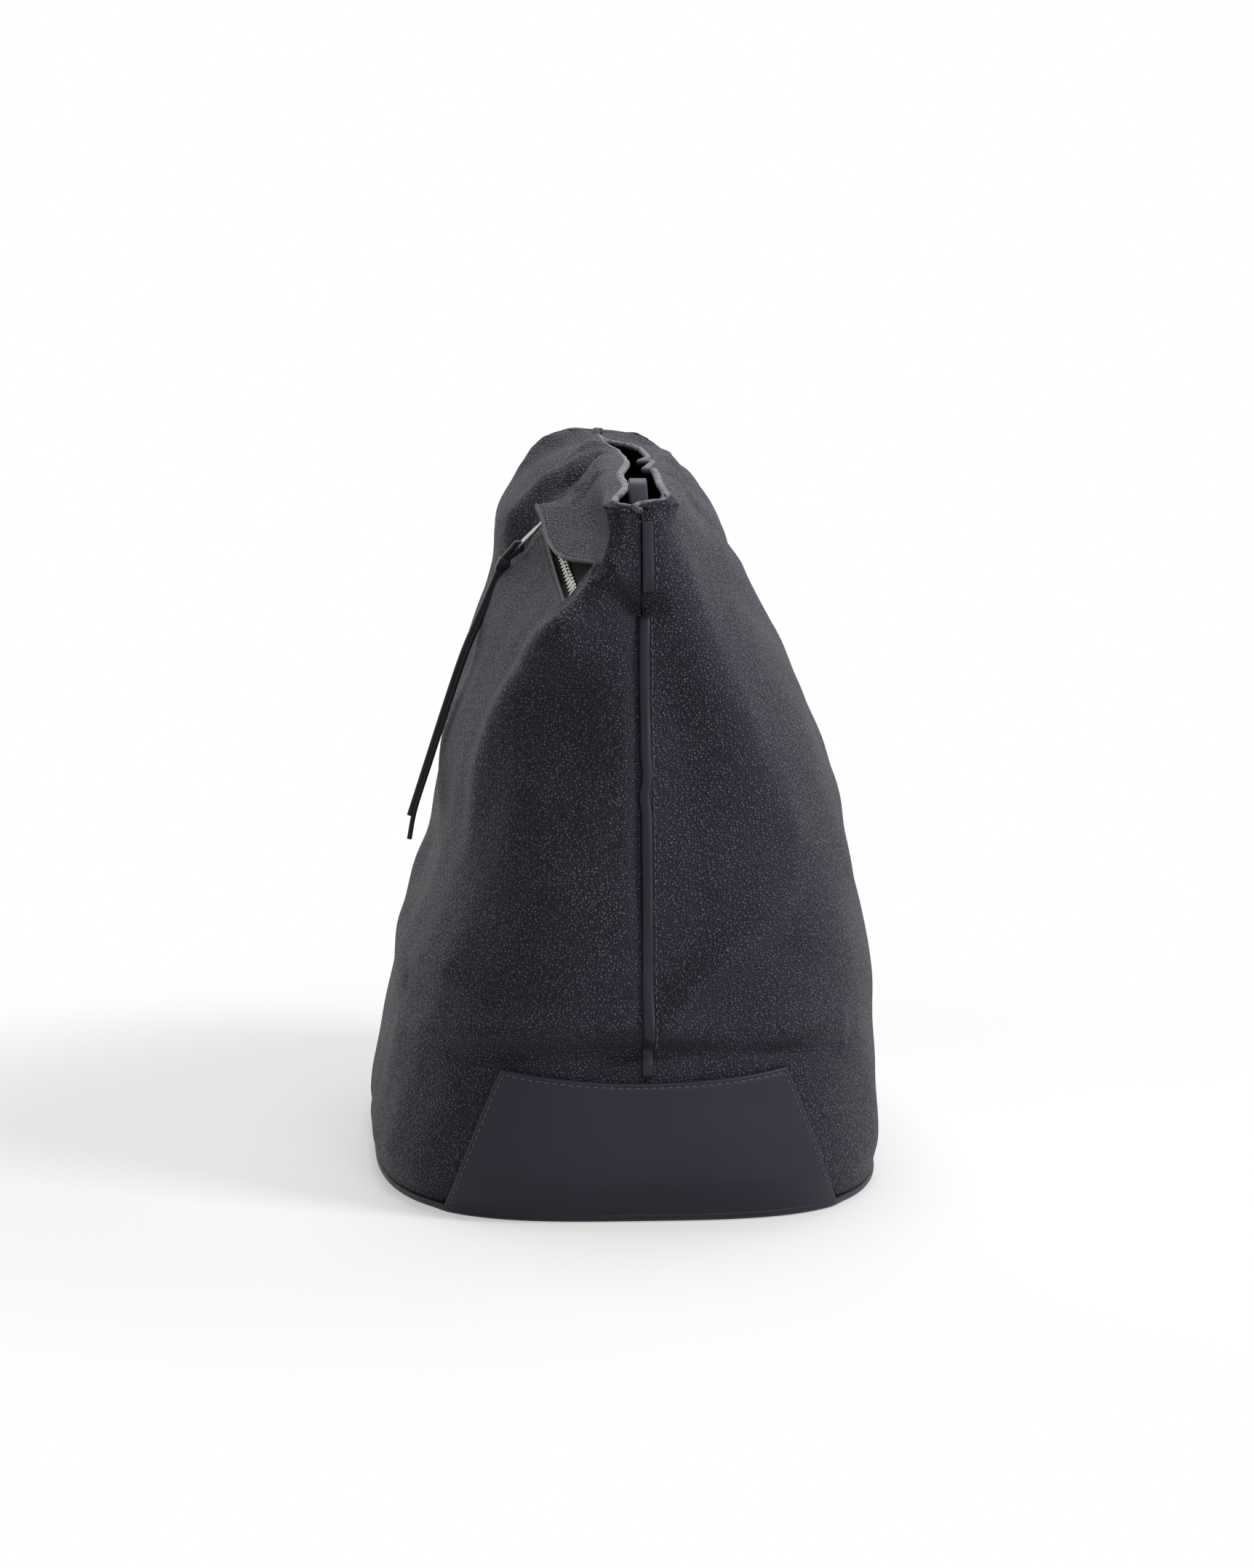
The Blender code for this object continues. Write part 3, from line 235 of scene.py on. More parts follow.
def zip_frame():
    """Middle of the zip, and its axes as columns: to the near end, up the roof and outwards.

    Both are rounded to the six places that the frame's record has.
    """
    near_x, level = BASE_HALF_LENGTH - ZIP_NEAR_INSET, BODY_HEIGHT - ZIP_NEAR_DROP
    roof = np.concatenate([raw_wall(h, ZIP_SEARCH_STATIONS) for h in ZIP_SEARCH_SHARES])
    near_end = roof[np.argmin(np.hypot(roof[:, 0] - near_x, roof[:, 2] - level))]
    along = np.array((1.0, math.tan(ZIP_TOE_IN), -math.tan(ZIP_SLOPE)))
    along /= np.linalg.norm(along)
    up_roof = np.array((0.0, math.cos(ZIP_ROOF_PITCH), math.sin(ZIP_ROOF_PITCH)))
    up_roof -= along * (up_roof @ along)
    up_roof /= np.linalg.norm(up_roof)
    axes = np.stack([along, up_roof, np.cross(along, up_roof)], axis=1)
    return np.round(near_end - along * ZIP_LENGTH / 2, 6), np.round(axes, 6)


ZIP_ORIGIN, ZIP_AXES = zip_frame()
ZIP_ALONG, ZIP_UP, ZIP_OUT = ZIP_AXES.T


def on_zip(points):
    """Places of points along, across and above the zip."""
    return (points - ZIP_ORIGIN) @ ZIP_AXES


def zip_distance(local):
    """Distance from the middle line of the zip in its own plane."""
    return np.hypot(np.maximum(np.abs(local[:, 0]) - ZIP_LENGTH / 2, 0.0), local[:, 1])


def wrap(stations):
    """Stations brought back to -1..1."""
    return (np.asarray(stations, float) + 1.0) % 2.0 - 1.0


def wall(h, stations):
    """Outer leather surface before it slumps, lying flat round the zip."""
    wrapped = wrap(stations)
    points = raw_wall(h, wrapped)
    local = on_zip(points)
    hold = 1.0 - smooth(zip_distance(local), ZIP_FLAT_REACH, ZIP_FLAT_REACH + ZIP_FLAT_FADE)
    hold *= smooth(-wrapped, *ZIP_FLAT_STATIONS) * (1.0 - smooth(h, *ZIP_FLAT_SHARES))
    return points - (hold * local[:, 2])[:, None] * ZIP_OUT


def wall_normals(h, stations):
    """Outward normals of the wall."""
    step = 0.004
    across = wall(h, stations + step) - wall(h, stations - step)
    climb = wall(min(h + step, 1.0), stations) - wall(max(h - step, 0.0), stations)
    return unit(np.cross(across, climb))


TABLE_ROWS, TABLE_COLUMNS = 501, 1601
NEAR_SEAM_COLUMN = TABLE_COLUMNS // 2
SEAM_NUDGE = 1e-9


def wall_table():
    heights, stations = np.linspace(0.0, 1.0, TABLE_ROWS), np.linspace(-1.0, 1.0, TABLE_COLUMNS)
    inner = np.clip(stations, -1 + SEAM_NUDGE, 1 - SEAM_NUDGE)
    points = np.array([wall(h, inner) for h in heights])
    normals = np.array([wall_normals(h, inner) for h in heights])
    lengths = np.array([[half_length(h, side) for h in heights] for side in (FRONT, BACK)])
    return heights, points, normals, lengths


SHARES, WALL_POINTS, WALL_NORMALS, HALF_LENGTHS = wall_table()


def wall_at(heights, stations):
    """Wall points and normals for two arrays of equal length."""
    row = np.clip(np.asarray(heights, float), 0.0, 1.0) * (TABLE_ROWS - 1)
    column = (np.asarray(stations, float) + 1.0) % 2.0 / 2.0 * (TABLE_COLUMNS - 1)
    i = np.minimum(row.astype(int), TABLE_ROWS - 2)
    j = np.minimum(column.astype(int), TABLE_COLUMNS - 2)
    a, b = (row - i)[:, None], (column - j)[:, None]
    found = []
    for table in (WALL_POINTS, WALL_NORMALS):
        low = table[i, j] * (1 - b) + table[i, j + 1] * b
        high = table[i + 1, j] * (1 - b) + table[i + 1, j + 1] * b
        found.append(low * (1 - a) + high * a)
    return found[0], unit(found[1])


def length_at(heights, arcs):
    """Length of the half of the wall that an arc from the near seam lies on."""
    front, back = (np.interp(heights, SHARES, row) for row in HALF_LENGTHS)
    return np.where(np.asarray(arcs) < 0, front, back)


def share_at_height(level, station=0.0):
    """Wall share at which the wall reaches a height."""
    levels = wall_at(SHARES, np.full(TABLE_ROWS, station))[0][:, 2]
    return float(np.interp(level, levels, SHARES))


# Slump of the soft leather, in millimetres

# Waves of the slow unevenness: direction, length and phase
WAVES = [((1.0, 0.4, 0.7), 83, 0.3), ((-0.6, 1.0, 0.5), 61, 1.9), ((0.3, -0.8, 1.0), 71, 4.2),
         ((0.9, 0.9, -0.6), 47, 2.6), ((-0.2, 0.5, 1.0), 39, 5.3)]
WAVE_HEIGHT = 0.24


def fold(line, rises, width, side=BOTH, far_width=None):
    """One fold or hollow: its line on the wall, the rise at each point and its width.

    It may keep to the front or the back, and may fall off within another width towards the far end.
    """
    return np.array(line, float), rises, width, side, far_width or width


FOLDS = [
    # corner of the near end towards the front, and the hollow beside it
    fold([(162, -26, 274), (161, -40, 251), (139, -52, 231), (129, -62, 215), (126, -68, 197),
          (134, -72, 168), (141, -77, 136)],
         (3, 6, 6.5, 5, 3.5, 2, 0.5), 16),
    fold([(169, -21, 259), (172, -30, 230), (176, -33, 202), (182, -35, 170)], (-3, -6, -6, -3), 22),
    # corner of the near end towards the back, and its hollow
    fold([(161, 18, 281), (165, 24, 258), (168, 33, 233), (170, 48, 204), (166, 64, 174)],
         (3, 4.5, 4.5, 3.5, 2), 14),
    fold([(170, 9, 256), (177, 13, 224), (182, 19, 193), (187, 24, 161)], (-2.5, -4.5, -4.5, -2), 16),
    # slanting folds above the right half of the near tab
    fold([(195, 6, 85), (195, 18, 101), (192, 36, 118), (184, 53, 133), (171, 67, 147)],
         (3, 6.2, 6.6, 4.8, 2), 8),
    fold([(195, 6, 108), (193, 23, 127), (186, 43, 145)], (-1, -2, -1.5), 11),
    fold([(194, 23, 81), (191, 46, 100), (179, 66, 117)], (-1.5, -1.5, -1.5), 11),
    fold([(188, 33, 150), (178, 53, 160), (164, 68, 167)], (1, 1.4, 0.6), 8),
    # folds low on the left
    fold([(32, -105, 99), (114, -95, 105), (149, -84, 104), (170, -73, 97)], (1, 3.4, 4.4, 2), 9),
    fold([(91, -103, 92), (154, -84, 94), (181, -62, 90)], (-1.5, -3.4, -1.5), 8),
    # leather sagging over the near tab, with the crease under it
    fold([(94, -112, 70), (160, -86, 82), (183, -60, 86), (195, 0, 87), (183, 63, 85), (160, 90, 82)],
         (2, 4, 4.5, 4.5, 4.2, 2.5), 8),
    fold([(160, -85, 70), (183, -59, 75), (194, 0, 76.5), (183, 63, 74), (160, 88, 71)],
         (-1.5, -4, -4, -4, -1.5), 3.5),
    # collar at the near end of the mouth: crease under it, its own roll and its left edge
    fold([(166, -11, 274), (168, -1, 269.5), (167, 7, 269.5)], (-2.5, -4, -2.5), 4.5),
    fold([(167, -8, 283), (169, 0, 281), (168, 7, 282)], (2, 2.5, 2), 8),
    fold([(168, -10, 258), (170, 0, 257), (169, 9, 258)], (1.5, 1.5, 1.5), 9),
    fold([(160, -12, 308), (165, -12, 294), (166, -12, 283)], (2, 2.5, 2), 4, FRONT),
    # crumpled spot below the left edge of the collar
    fold([(164, -15, 282), (164, -15, 281)], (3, 3), 10, FRONT),
    fold([(160, -20, 285), (166, -12, 287)], (-2.2, -2.2), 2, FRONT),
    fold([(160, -20, 281.5), (166, -11, 283)], (-2.2, -2.2), 2, FRONT),
    fold([(162, -19, 277.5), (166, -12, 279)], (-2.2, -2.2), 2, FRONT),
    # groove beside the near welt
    fold([(167, -2.5, 268), (178, -2.5, 220), (190, -2.5, 150), (195, -2.5, 78)],
         (-2.6, -2.8, -2.8, -2), 3),
    # front below the zip: a long fold that hides the part behind it, and the valley behind
    fold([(14, -45, 288), (15, -50.4, 279), (15, -57, 272), (12, -63.5, 256), (5, -68, 245), (0, -73, 228)],
         (0, 1.5, 2, 2.2, 2, 1), 55, FRONT, 12),
    fold([(-20, -50, 285), (-25, -60, 262), (-25, -68, 240)], (-6, -6, -3), 18, FRONT),
    fold([(-60, -5, 332), (-30, -20, 326), (-38, -33, 318)], (2.5, 2.5, 2.5), 9, FRONT),
    # ridges that run from the gathers of the mouth down the front roof, and the valley between them
    fold([(-45, -8, 335), (-48, -15, 331), (-53, -20, 329)], (2, 2.5, 1.5), 5, FRONT),
    fold([(-28, -6, 332), (3, -12, 325), (26, -19, 317)], (2, 2.8, 2), 5, FRONT),
    fold([(-4, -2, 330), (44, -10, 325), (44, -20, 313)], (1.5, 2.5, 1.5), 5, FRONT),
    fold([(-21, -12, 329), (-14, -18, 323), (-16, -23, 317)], (-3, -5, -4), 5, FRONT),
    # back: the same on the other side
    fold([(80, 24, 309), (70, 33, 297), (50, 48, 279), (30, 68, 255)], (2, 4, 4.5, 3), 45, BACK, 12),
    fold([(30, 38, 300), (15, 52, 280), (0, 68, 258)], (-3, -3.5, -2), 16, BACK),
    # far end: corners, hollow, sag over the tab and one slanting fold
    fold([(-165, -24, 285), (-168, -38, 255), (-170, -52, 225), (-168, -64, 190), (-166, -72, 150)],
         (2, 3.5, 3.5, 2.5, 1), 15),
    fold([(-164, 24, 288), (-167, 40, 258), (-170, 56, 226), (-170, 70, 190), (-168, 80, 150)],
         (2, 3.5, 3.5, 2.5, 1), 15),
    fold([(-172, -6, 275), (-178, -8, 235), (-184, -6, 195), (-190, -4, 150)], (-1.5, -3, -3, -1.5), 20),
    fold([(-160, -90, 82), (-183, -62, 85), (-195, 0, 87), (-183, 62, 85), (-160, 92, 81)],
         (2, 3, 3, 3, 2), 8),
    fold([(-160, -88, 71), (-183, -60, 74), (-194, 0, 76), (-183, 61, 74), (-160, 90, 71)],
         (-1.0, -2.5, -2.5, -2.5, -1.0), 3.5),
    fold([(-194, 4, 104), (-190, -26, 122), (-180, -52, 136)], (1.5, 2.8, 1.5), 9),
    # flat far crest with its rounded corners
    fold([(-140, -19, 336), (-131, -27, 332), (-128, -32, 328), (-121, -38, 325)],
         (3.5, 6.5, 5.5, 3), 9, FRONT),
    fold([(-132, 19, 338), (-127, 23, 336)], (1.5, 1.8), 7, BACK),
    fold([(-120, 31, 332), (-82, 35, 329), (-60, 36, 326)], (-2.5, -5, -3), 10, BACK),
    # long soft sags on the front and the back
    fold([(-140, -100, 40), (-60, -116, 30), (40, -116, 30), (120, -103, 40)],
         (-0.5, -1, -1, -0.5), 26, FRONT),
    fold([(-140, 102, 40), (-60, 118, 32), (40, 118, 32), (120, 104, 40)], (0.2, 0.3, 0.3, 0.2), 26, BACK),
    fold([(-130, -78, 190), (-70, -96, 150), (0, -106, 112), (60, -108, 90)], (1, 3, 3, 1), 17, FRONT),
    fold([(-120, -88, 140), (-60, -104, 105), (0, -111, 82)], (-1, -2.4, -1), 14, FRONT),
    fold([(-20, -78, 210), (40, -92, 170), (90, -96, 140)], (1, 2.4, 1), 15, FRONT),
    fold([(-130, 86, 190), (-70, 104, 150), (0, 111, 115), (70, 108, 92)], (1, 3, 3, 1), 17, BACK),
    fold([(-110, 96, 140), (-50, 110, 108), (10, 114, 84)], (-1, -2.4, -1), 14, BACK),
    fold([(-10, 84, 220), (50, 98, 180), (100, 96, 146)], (1, 2.6, 1), 15, BACK),
    fold([(-130, -52, 262), (-90, -62, 240), (-50, -74, 215)], (1, 2.6, 1), 13, FRONT),
    fold([(-120, 52, 268), (-80, 64, 244), (-40, 78, 220)], (1, 2.6, 1), 13, BACK),
]

# Gathered line of the mouth seen from above: place along the bag and across it
FRONT_RIM = [(-134, -1.6), (-119, -1.5), (-89, 0.4), (-69, 3.6), (-34, 4.6), (0, 3.4), (22, 1.7), (40, -0.6),
             (57, -2.9), (72, -4.9), (87, -5.4), (97, -4.9), (107, -4.7), (120, -6.1), (140, -10.6),
             (158, -13.0), (164, -9.0), (167, -2)]
BACK_RIM = [(-134, -1.2), (-114, 1.6), (-107, 5), (-100, 10), (-91, 14), (-78, 17), (-60, 17.8), (-30, 18),
            (-14, 14), (-3, 11.8), (4, 16.8), (12, 17.4), (40, 13), (52, 11), (59, 15), (74, 14.9),
            (103, 14.2), (126, 14.7), (158, 14.0), (164, 9.5), (167, -2)]
RIM_SHARES = (0.90, 0.995)

# Raised corners of the collar at the near end of the mouth, and the dip between them
CORNER_ALONG, CORNER_ALONG_SPREAD = 158, 12
CORNER_ACROSS, CORNER_ACROSS_SPREAD = 9, 6
CORNER_RISE = {FRONT: 1.0, BACK: 4.0}
CORNER_SHARES = (0.90, 1.0)
COLLAR_DIP, COLLAR_DIP_SPREAD = 2.0, 5
COLLAR_DIP_ALONG = (150, 166)

# Flap of the upper lip over the zip, by place along it: rise of its edge off the zip, how far up the roof
# it reaches, and how far the edge is drawn up the roof
FLAP_PLACES = (-73, -60, -54, -49, -45, -29, -14, 0, 11, 25, 38, 50, 60, 70, 90)
FLAP_RISE = (0, 0, 3, 12, 15, 12.3, 10.6, 9.5, 8.8, 7.8, 7.0, 4.5, 2.2, 0, 0)
FLAP_REACH = (10, 10, 10, 11, 12, 20, 26, 28, 28, 28, 26, 22, 18, 16, 16)
FLAP_SLIDE = (0, 0, 0, 0, 0, -1, -2.2, -3, -3, -2, 0, 4, 8, 12, 0)
FLAP_SLIDE_REACH = 30
FLAP_SHEAR = 2.0
FLAP_FALL_POWER = 1.4
FLAP_NEARNESS = 25
FLAP_START = (0.0, 4.5)

# Spans over which the leather comes free of what holds it: the base, a tab, the zip and the mouth
BASE_HOLD = (5, 16)
TAB_LEVELS = (4, 68)
TAB_SIDE_HOLD = (-1, 7)
TAB_TOP_HOLD = (67, 73)
ZIP_HOLD = (9, 20)
MOUTH_HOLD_SHARES = (0.965, 0.998)
LOW_WALL_SHARES, LOW_WALL_LENGTHS = (0, 0.2), (531, 518)


def along_line(points, line, values):
    """Distance from each point to a line of points, the value there and the offset from it."""
    gap = np.full(len(points), np.inf)
    value = np.zeros(len(points))
    offset = np.zeros_like(points)
    for a, b, low, high in zip(line[:-1], line[1:], values[:-1], values[1:]):
        run = b - a
        t = np.clip((points - a) @ run / (run @ run), 0.0, 1.0)
        reach = points - (a + t[:, None] * run)
        distance = np.linalg.norm(reach, axis=1)
        closer = distance < gap
        gap = np.where(closer, distance, gap)
        value = np.where(closer, low + (high - low) * t, value)
        offset = np.where(closer[:, None], reach, offset)
    return gap, value, offset


def wobble(points):
    """Slow unevenness of the leather."""
    total = np.zeros(len(points))
    for direction, length, phase in WAVES:
        total += np.sin(points @ np.array(direction) * math.tau / length + phase)
    return total * WAVE_HEIGHT


def flap_shift(points, stations):
    """Rise and slide of the upper lip where it puffs up over the zip."""
    u, v, level = (on_zip(points) * MM).T
    climb = np.maximum(v - ZIP_WINDOW / 2 * MM, 0.0)
    sheared = u + FLAP_SHEAR * climb
    reach = np.interp(sheared, FLAP_PLACES, FLAP_REACH)
    share = np.clip(1 - climb / reach, 0.0, 1.0) ** FLAP_FALL_POWER
    upper = (stations < 0) * (np.abs(level) < FLAP_NEARNESS) * smooth(v, *FLAP_START)
    rise = np.interp(sheared, FLAP_PLACES, FLAP_RISE) * share * upper
    slide = np.interp(u, FLAP_PLACES, FLAP_SLIDE) * np.clip(1 - climb / FLAP_SLIDE_REACH, 0.0, 1.0) * upper
    return rise[:, None] * ZIP_OUT + slide[:, None] * ZIP_UP


def freedom(points, heights, stations):
    """Share of the slump that the base, the tabs, the zip and the mouth leave to the leather."""
    level = points[:, 2] * MM
    arc = np.minimum(np.abs(stations), 1 - np.abs(stations))
    arc = arc * np.interp(heights, LOW_WALL_SHARES, LOW_WALL_LENGTHS)
    half = np.interp(level, TAB_LEVELS, [TAB_FOOT_HALF_WIDTH * MM, TAB_TOP_HALF_WIDTH * MM])
    free = smooth(level, *BASE_HOLD)
    free *= 1 - (1 - smooth(arc - half, *TAB_SIDE_HOLD)) * (1 - smooth(level, *TAB_TOP_HOLD))
    free *= 1 - (1 - smooth(zip_distance(on_zip(points)) * MM, *ZIP_HOLD)) * (stations < 0)
    return free * (1 - smooth(heights, *MOUTH_HOLD_SHARES))


def mouth_shift(place, heights, stations):
    """Shift of the leather near the mouth into its gathers, and up to the corners of the collar."""
    shift = np.zeros_like(place)
    fade = smooth(heights, *RIM_SHARES)
    for side, rim in ((FRONT, FRONT_RIM), (BACK, BACK_RIM)):
        edge = WALL_POINTS[-1][NEAR_SEAM_COLUMN::side] * MM
        order = np.argsort(edge[:, 0])
        plain = np.interp(place[:, 0], edge[order, 0], edge[order, 1])
        wanted = np.interp(place[:, 0], [x for x, y in rim], [y for x, y in rim])
        shift[:, 1] += (stations * side > 0) * (wanted - plain) * fade
    corner = np.exp(-((place[:, 0] - CORNER_ALONG) / CORNER_ALONG_SPREAD) ** 2)
    corner *= smooth(heights, *CORNER_SHARES) * np.where(stations > 0, CORNER_RISE[BACK], CORNER_RISE[FRONT])
    corner *= np.exp(-((np.abs(place[:, 1]) - CORNER_ACROSS) / CORNER_ACROSS_SPREAD) ** 2)
    dip = COLLAR_DIP * np.exp(-(place[:, 1] / COLLAR_DIP_SPREAD) ** 2)
    shift[:, 2] = corner - dip * smooth(place[:, 0], *COLLAR_DIP_ALONG) * fade
    return shift


def slump(points, normals, heights, stations):
    """Wall points after the soft leather has settled."""
    place = points * MM
    lift = wobble(place)
    for line, rises, width, side, far_width in FOLDS:
        gap, rise, offset = along_line(place, line, rises)
        spread = np.where(offset[:, 0] < 0, far_width, width)
        lift += rise * np.exp(-(gap / spread) ** 2) * (stations * side >= 0)
    lift *= freedom(points, heights, stations)
    shift = mouth_shift(place, heights, stations) + flap_shift(points, stations)
    return points + (normals * lift[:, None] + shift) / MM


def leather(heights, stations):
    """Slumped wall points and the wall's normals for two arrays of equal length."""
    points, normals = wall_at(heights, stations)
    return slump(points, normals, np.asarray(heights, float), wrap(stations)), normals


def stretched(spans):
    """Numbers from span to span, each span with its own count of steps."""
    parts = [np.linspace(low, high, count + 1)[:-1] for low, high, count in spans]
    return np.concatenate(parts + [[spans[-1][1]]])


def round_trip(count):
    """Stations once round the bag, with one count for the front and the back."""
    return np.concatenate([np.linspace(start, start + 1, count, endpoint=False) for start in (-1, 0)])


# Making pieces

def set_inputs(tree, node, inputs):
    """Values or links for the inputs of a node, by name or number."""
    for key, value in inputs.items():
        if isinstance(value, bpy.types.NodeSocket):
            tree.links.new(value, node.inputs[key])
        else:
            node.inputs[key].default_value = value


def add_node(tree, kind, inputs=None, **settings):
    """New node with its settings, values and links."""
    node = tree.nodes.new(kind)
    for key, value in settings.items():
        setattr(node, key, value)
    set_inputs(tree, node, inputs or {})
    return node


def add_piece(name, mesh, finish, body="bag", stands_for=()):
    """Object for a finished mesh that rides on a body and takes the place of CAD nodes."""
    mesh.materials.clear()
    mesh.materials.append(finish)
    mesh.polygons.foreach_set("use_smooth", [True] * len(mesh.polygons))
    piece = bpy.data.objects.new(name, mesh)
    bpy.context.scene.collection.objects.link(piece)
    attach(piece, body)
    if stands_for:
        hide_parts(*stands_for)
    return piece


def mesh_from(name, vertices, faces):
    """Mesh with merged points and all faces outwards."""
    body = bmesh.new()
    made = [body.verts.new(tuple(vertex)) for vertex in vertices]
    for face in faces:
        body.faces.new([made[index] for index in face])
    bmesh.ops.remove_doubles(body, verts=body.verts[:], dist=1e-7)
    bmesh.ops.recalc_face_normals(body, faces=body.faces[:])
    mesh = bpy.data.meshes.new(name)
    body.to_mesh(mesh)
    body.free()
    return mesh


def tube(rings, closed=False):
    """Vertices and faces through equal rings of points, with capped ends unless it closes on itself."""
    count = len(rings[0])
    vertices = [point for ring in rings for point in ring]
    total = len(rings) if closed else len(rings) - 1
    faces = []
    for k in range(total):
        ahead = (k + 1) % len(rings)
        for i in range(count):
            j = (i + 1) % count
            faces.append((k * count + i, k * count + j, ahead * count + j, ahead * count + i))
    if not closed:
        faces += [tuple(range(count)), tuple(range(len(vertices) - count, len(vertices)))]
    return vertices, faces


def joined(shapes):
    """Vertices and faces of several shapes as one."""
    vertices, faces = [], []
    for points, polygons in shapes:
        faces += [tuple(index + len(vertices) for index in polygon) for polygon in polygons]
        vertices += list(points)
    return vertices, faces


def oval_rings(line, out, up, radius, flatness, count):
    """Rings of a round or oval edge along a line, in the plane of two directions."""
    angles = np.linspace(0, math.tau, count, endpoint=False)
    rings = []
    for point, a, b in zip(line, out, up):
        rings.append([point + radius * (flatness * math.cos(t) * a + math.sin(t) * b) for t in angles])
    return rings


def rounded_section(width, thickness, corner, steps=3):
    """Outline of a flat strip with rounded edges."""
    outline = []
    for sx, sy, start in ((1, 1, 0), (-1, 1, 90), (-1, -1, 180), (1, -1, 270)):
        for k in range(steps + 1):
            angle = math.radians(start + 90 * k / steps)
            outline.append((sx * (width / 2 - corner) + corner * math.cos(angle),
                            sy * (thickness / 2 - corner) + corner * math.sin(angle)))
    return outline


def spline(points, count, steps=24):
    """Evenly spaced points on a smooth curve through the given ones, measured in steps."""
    points = np.asarray(points, float)
    ends = np.concatenate([[2 * points[0] - points[1]], points, [2 * points[-1] - points[-2]]])
    dense = []
    for k in range(1, len(ends) - 2):
        p0, p1, p2, p3 = ends[k - 1:k + 3]
        for t in np.linspace(0, 1, steps, endpoint=False):
            dense.append(0.5 * (2 * p1 + (p2 - p0) * t + (2 * p0 - 5 * p1 + 4 * p2 - p3) * t * t
                                + (3 * p1 - p0 - 3 * p2 + p3) * t ** 3))
    dense = np.array(dense + [points[-1]])
    run = run_length(dense)
    places = np.linspace(0, run[-1], count)
    return np.stack([np.interp(places, run, dense[:, k]) for k in range(3)], axis=1)


def ribbon(line, sides, section):
    """Rings of a flat strip along a line; sides give the direction of its width."""
    rings = []
    for point, heading, side in zip(line, unit(np.gradient(line, axis=0)), sides):
        side = side - heading * (side @ heading)
        side = side / np.linalg.norm(side)
        face = np.cross(heading, side)
        rings.append([point + side * a + face * b for a, b in section])
    return rings


def grid_faces(rows, columns, start=0):
    """Quads of a grid of points."""
    faces = []
    for i in range(rows - 1):
        for j in range(columns - 1):
            a = start + i * columns + j
            faces.append((a, a + 1, a + columns + 1, a + columns))
    return faces


def thicken(piece, thickness):
    """Gives a sheet its thickness, inwards."""
    modifier = piece.modifiers.new("thickness", "SOLIDIFY")
    modifier.thickness = thickness
    modifier.offset = -1.0
    modifier.use_even_offset = False


def rounded_copy(name, node, finish, body, edge):
    """Piece from the CAD solid of a small hard part, with its edges broken."""
    work = bmesh.new()
    work.from_mesh(frame["nodes"][node].data)
    bmesh.ops.remove_doubles(work, verts=work.verts[:], dist=1e-6)
    bmesh.ops.dissolve_limit(work, angle_limit=0.01, verts=work.verts[:], edges=work.edges[:])
    mesh = bpy.data.meshes.new(name)
    work.to_mesh(mesh)
    work.free()
    piece = add_piece(name, mesh, finish, body, [node])
    bevel = piece.modifiers.new("broken edges", "BEVEL")
    bevel.width = edge
    bevel.segments = 2
    bevel.limit_method = "ANGLE"
    bevel.angle_limit = math.radians(35)
    bevel.harden_normals = True
    return piece


# Materials; the sizes of their patterns are in metres. The pores of the calf, the threads of the cloth and
# the wear of the metal are drawn coarser than the real ones, so that they show

LEATHER_PATCH = 0.045
CALF_PORE = 0.0007
CALF_PATCH = 0.030
SCUFF_WIDTH = 0.0016
SCUFF_PATCH = 0.035
EDGE_WRINKLE = 0.003
TWILL_THREAD = 0.0007
TAPE_THREAD = 0.0005
METAL_WEAR = 0.0009
THREAD_TWIST = 0.0004
BOARD_FLECK = 0.002
PEBBLE_HEIGHT, PORE_DEPTH = 0.0006, 0.00006
WAVE_SPACING = 0.314  # distance between the bands of a wave texture at scale 1
MULTIPLY = {"data_type": "RGBA", "blend_type": "MULTIPLY"}
MIX_SHARE, MIX_A, MIX_B, MIX_COLOUR = 0, 6, 7, 2  # numbers of a Mix node's colour sockets


def new_material(name):
    """Empty material: its tree, its shader and the object coordinates."""
    finish = bpy.data.materials.new(name)
    finish.use_nodes = True
    tree = finish.node_tree
    shader = tree.nodes["Principled BSDF"]
    place = add_node(tree, "ShaderNodeTexCoord").outputs["Object"]
    return finish, tree, shader, place


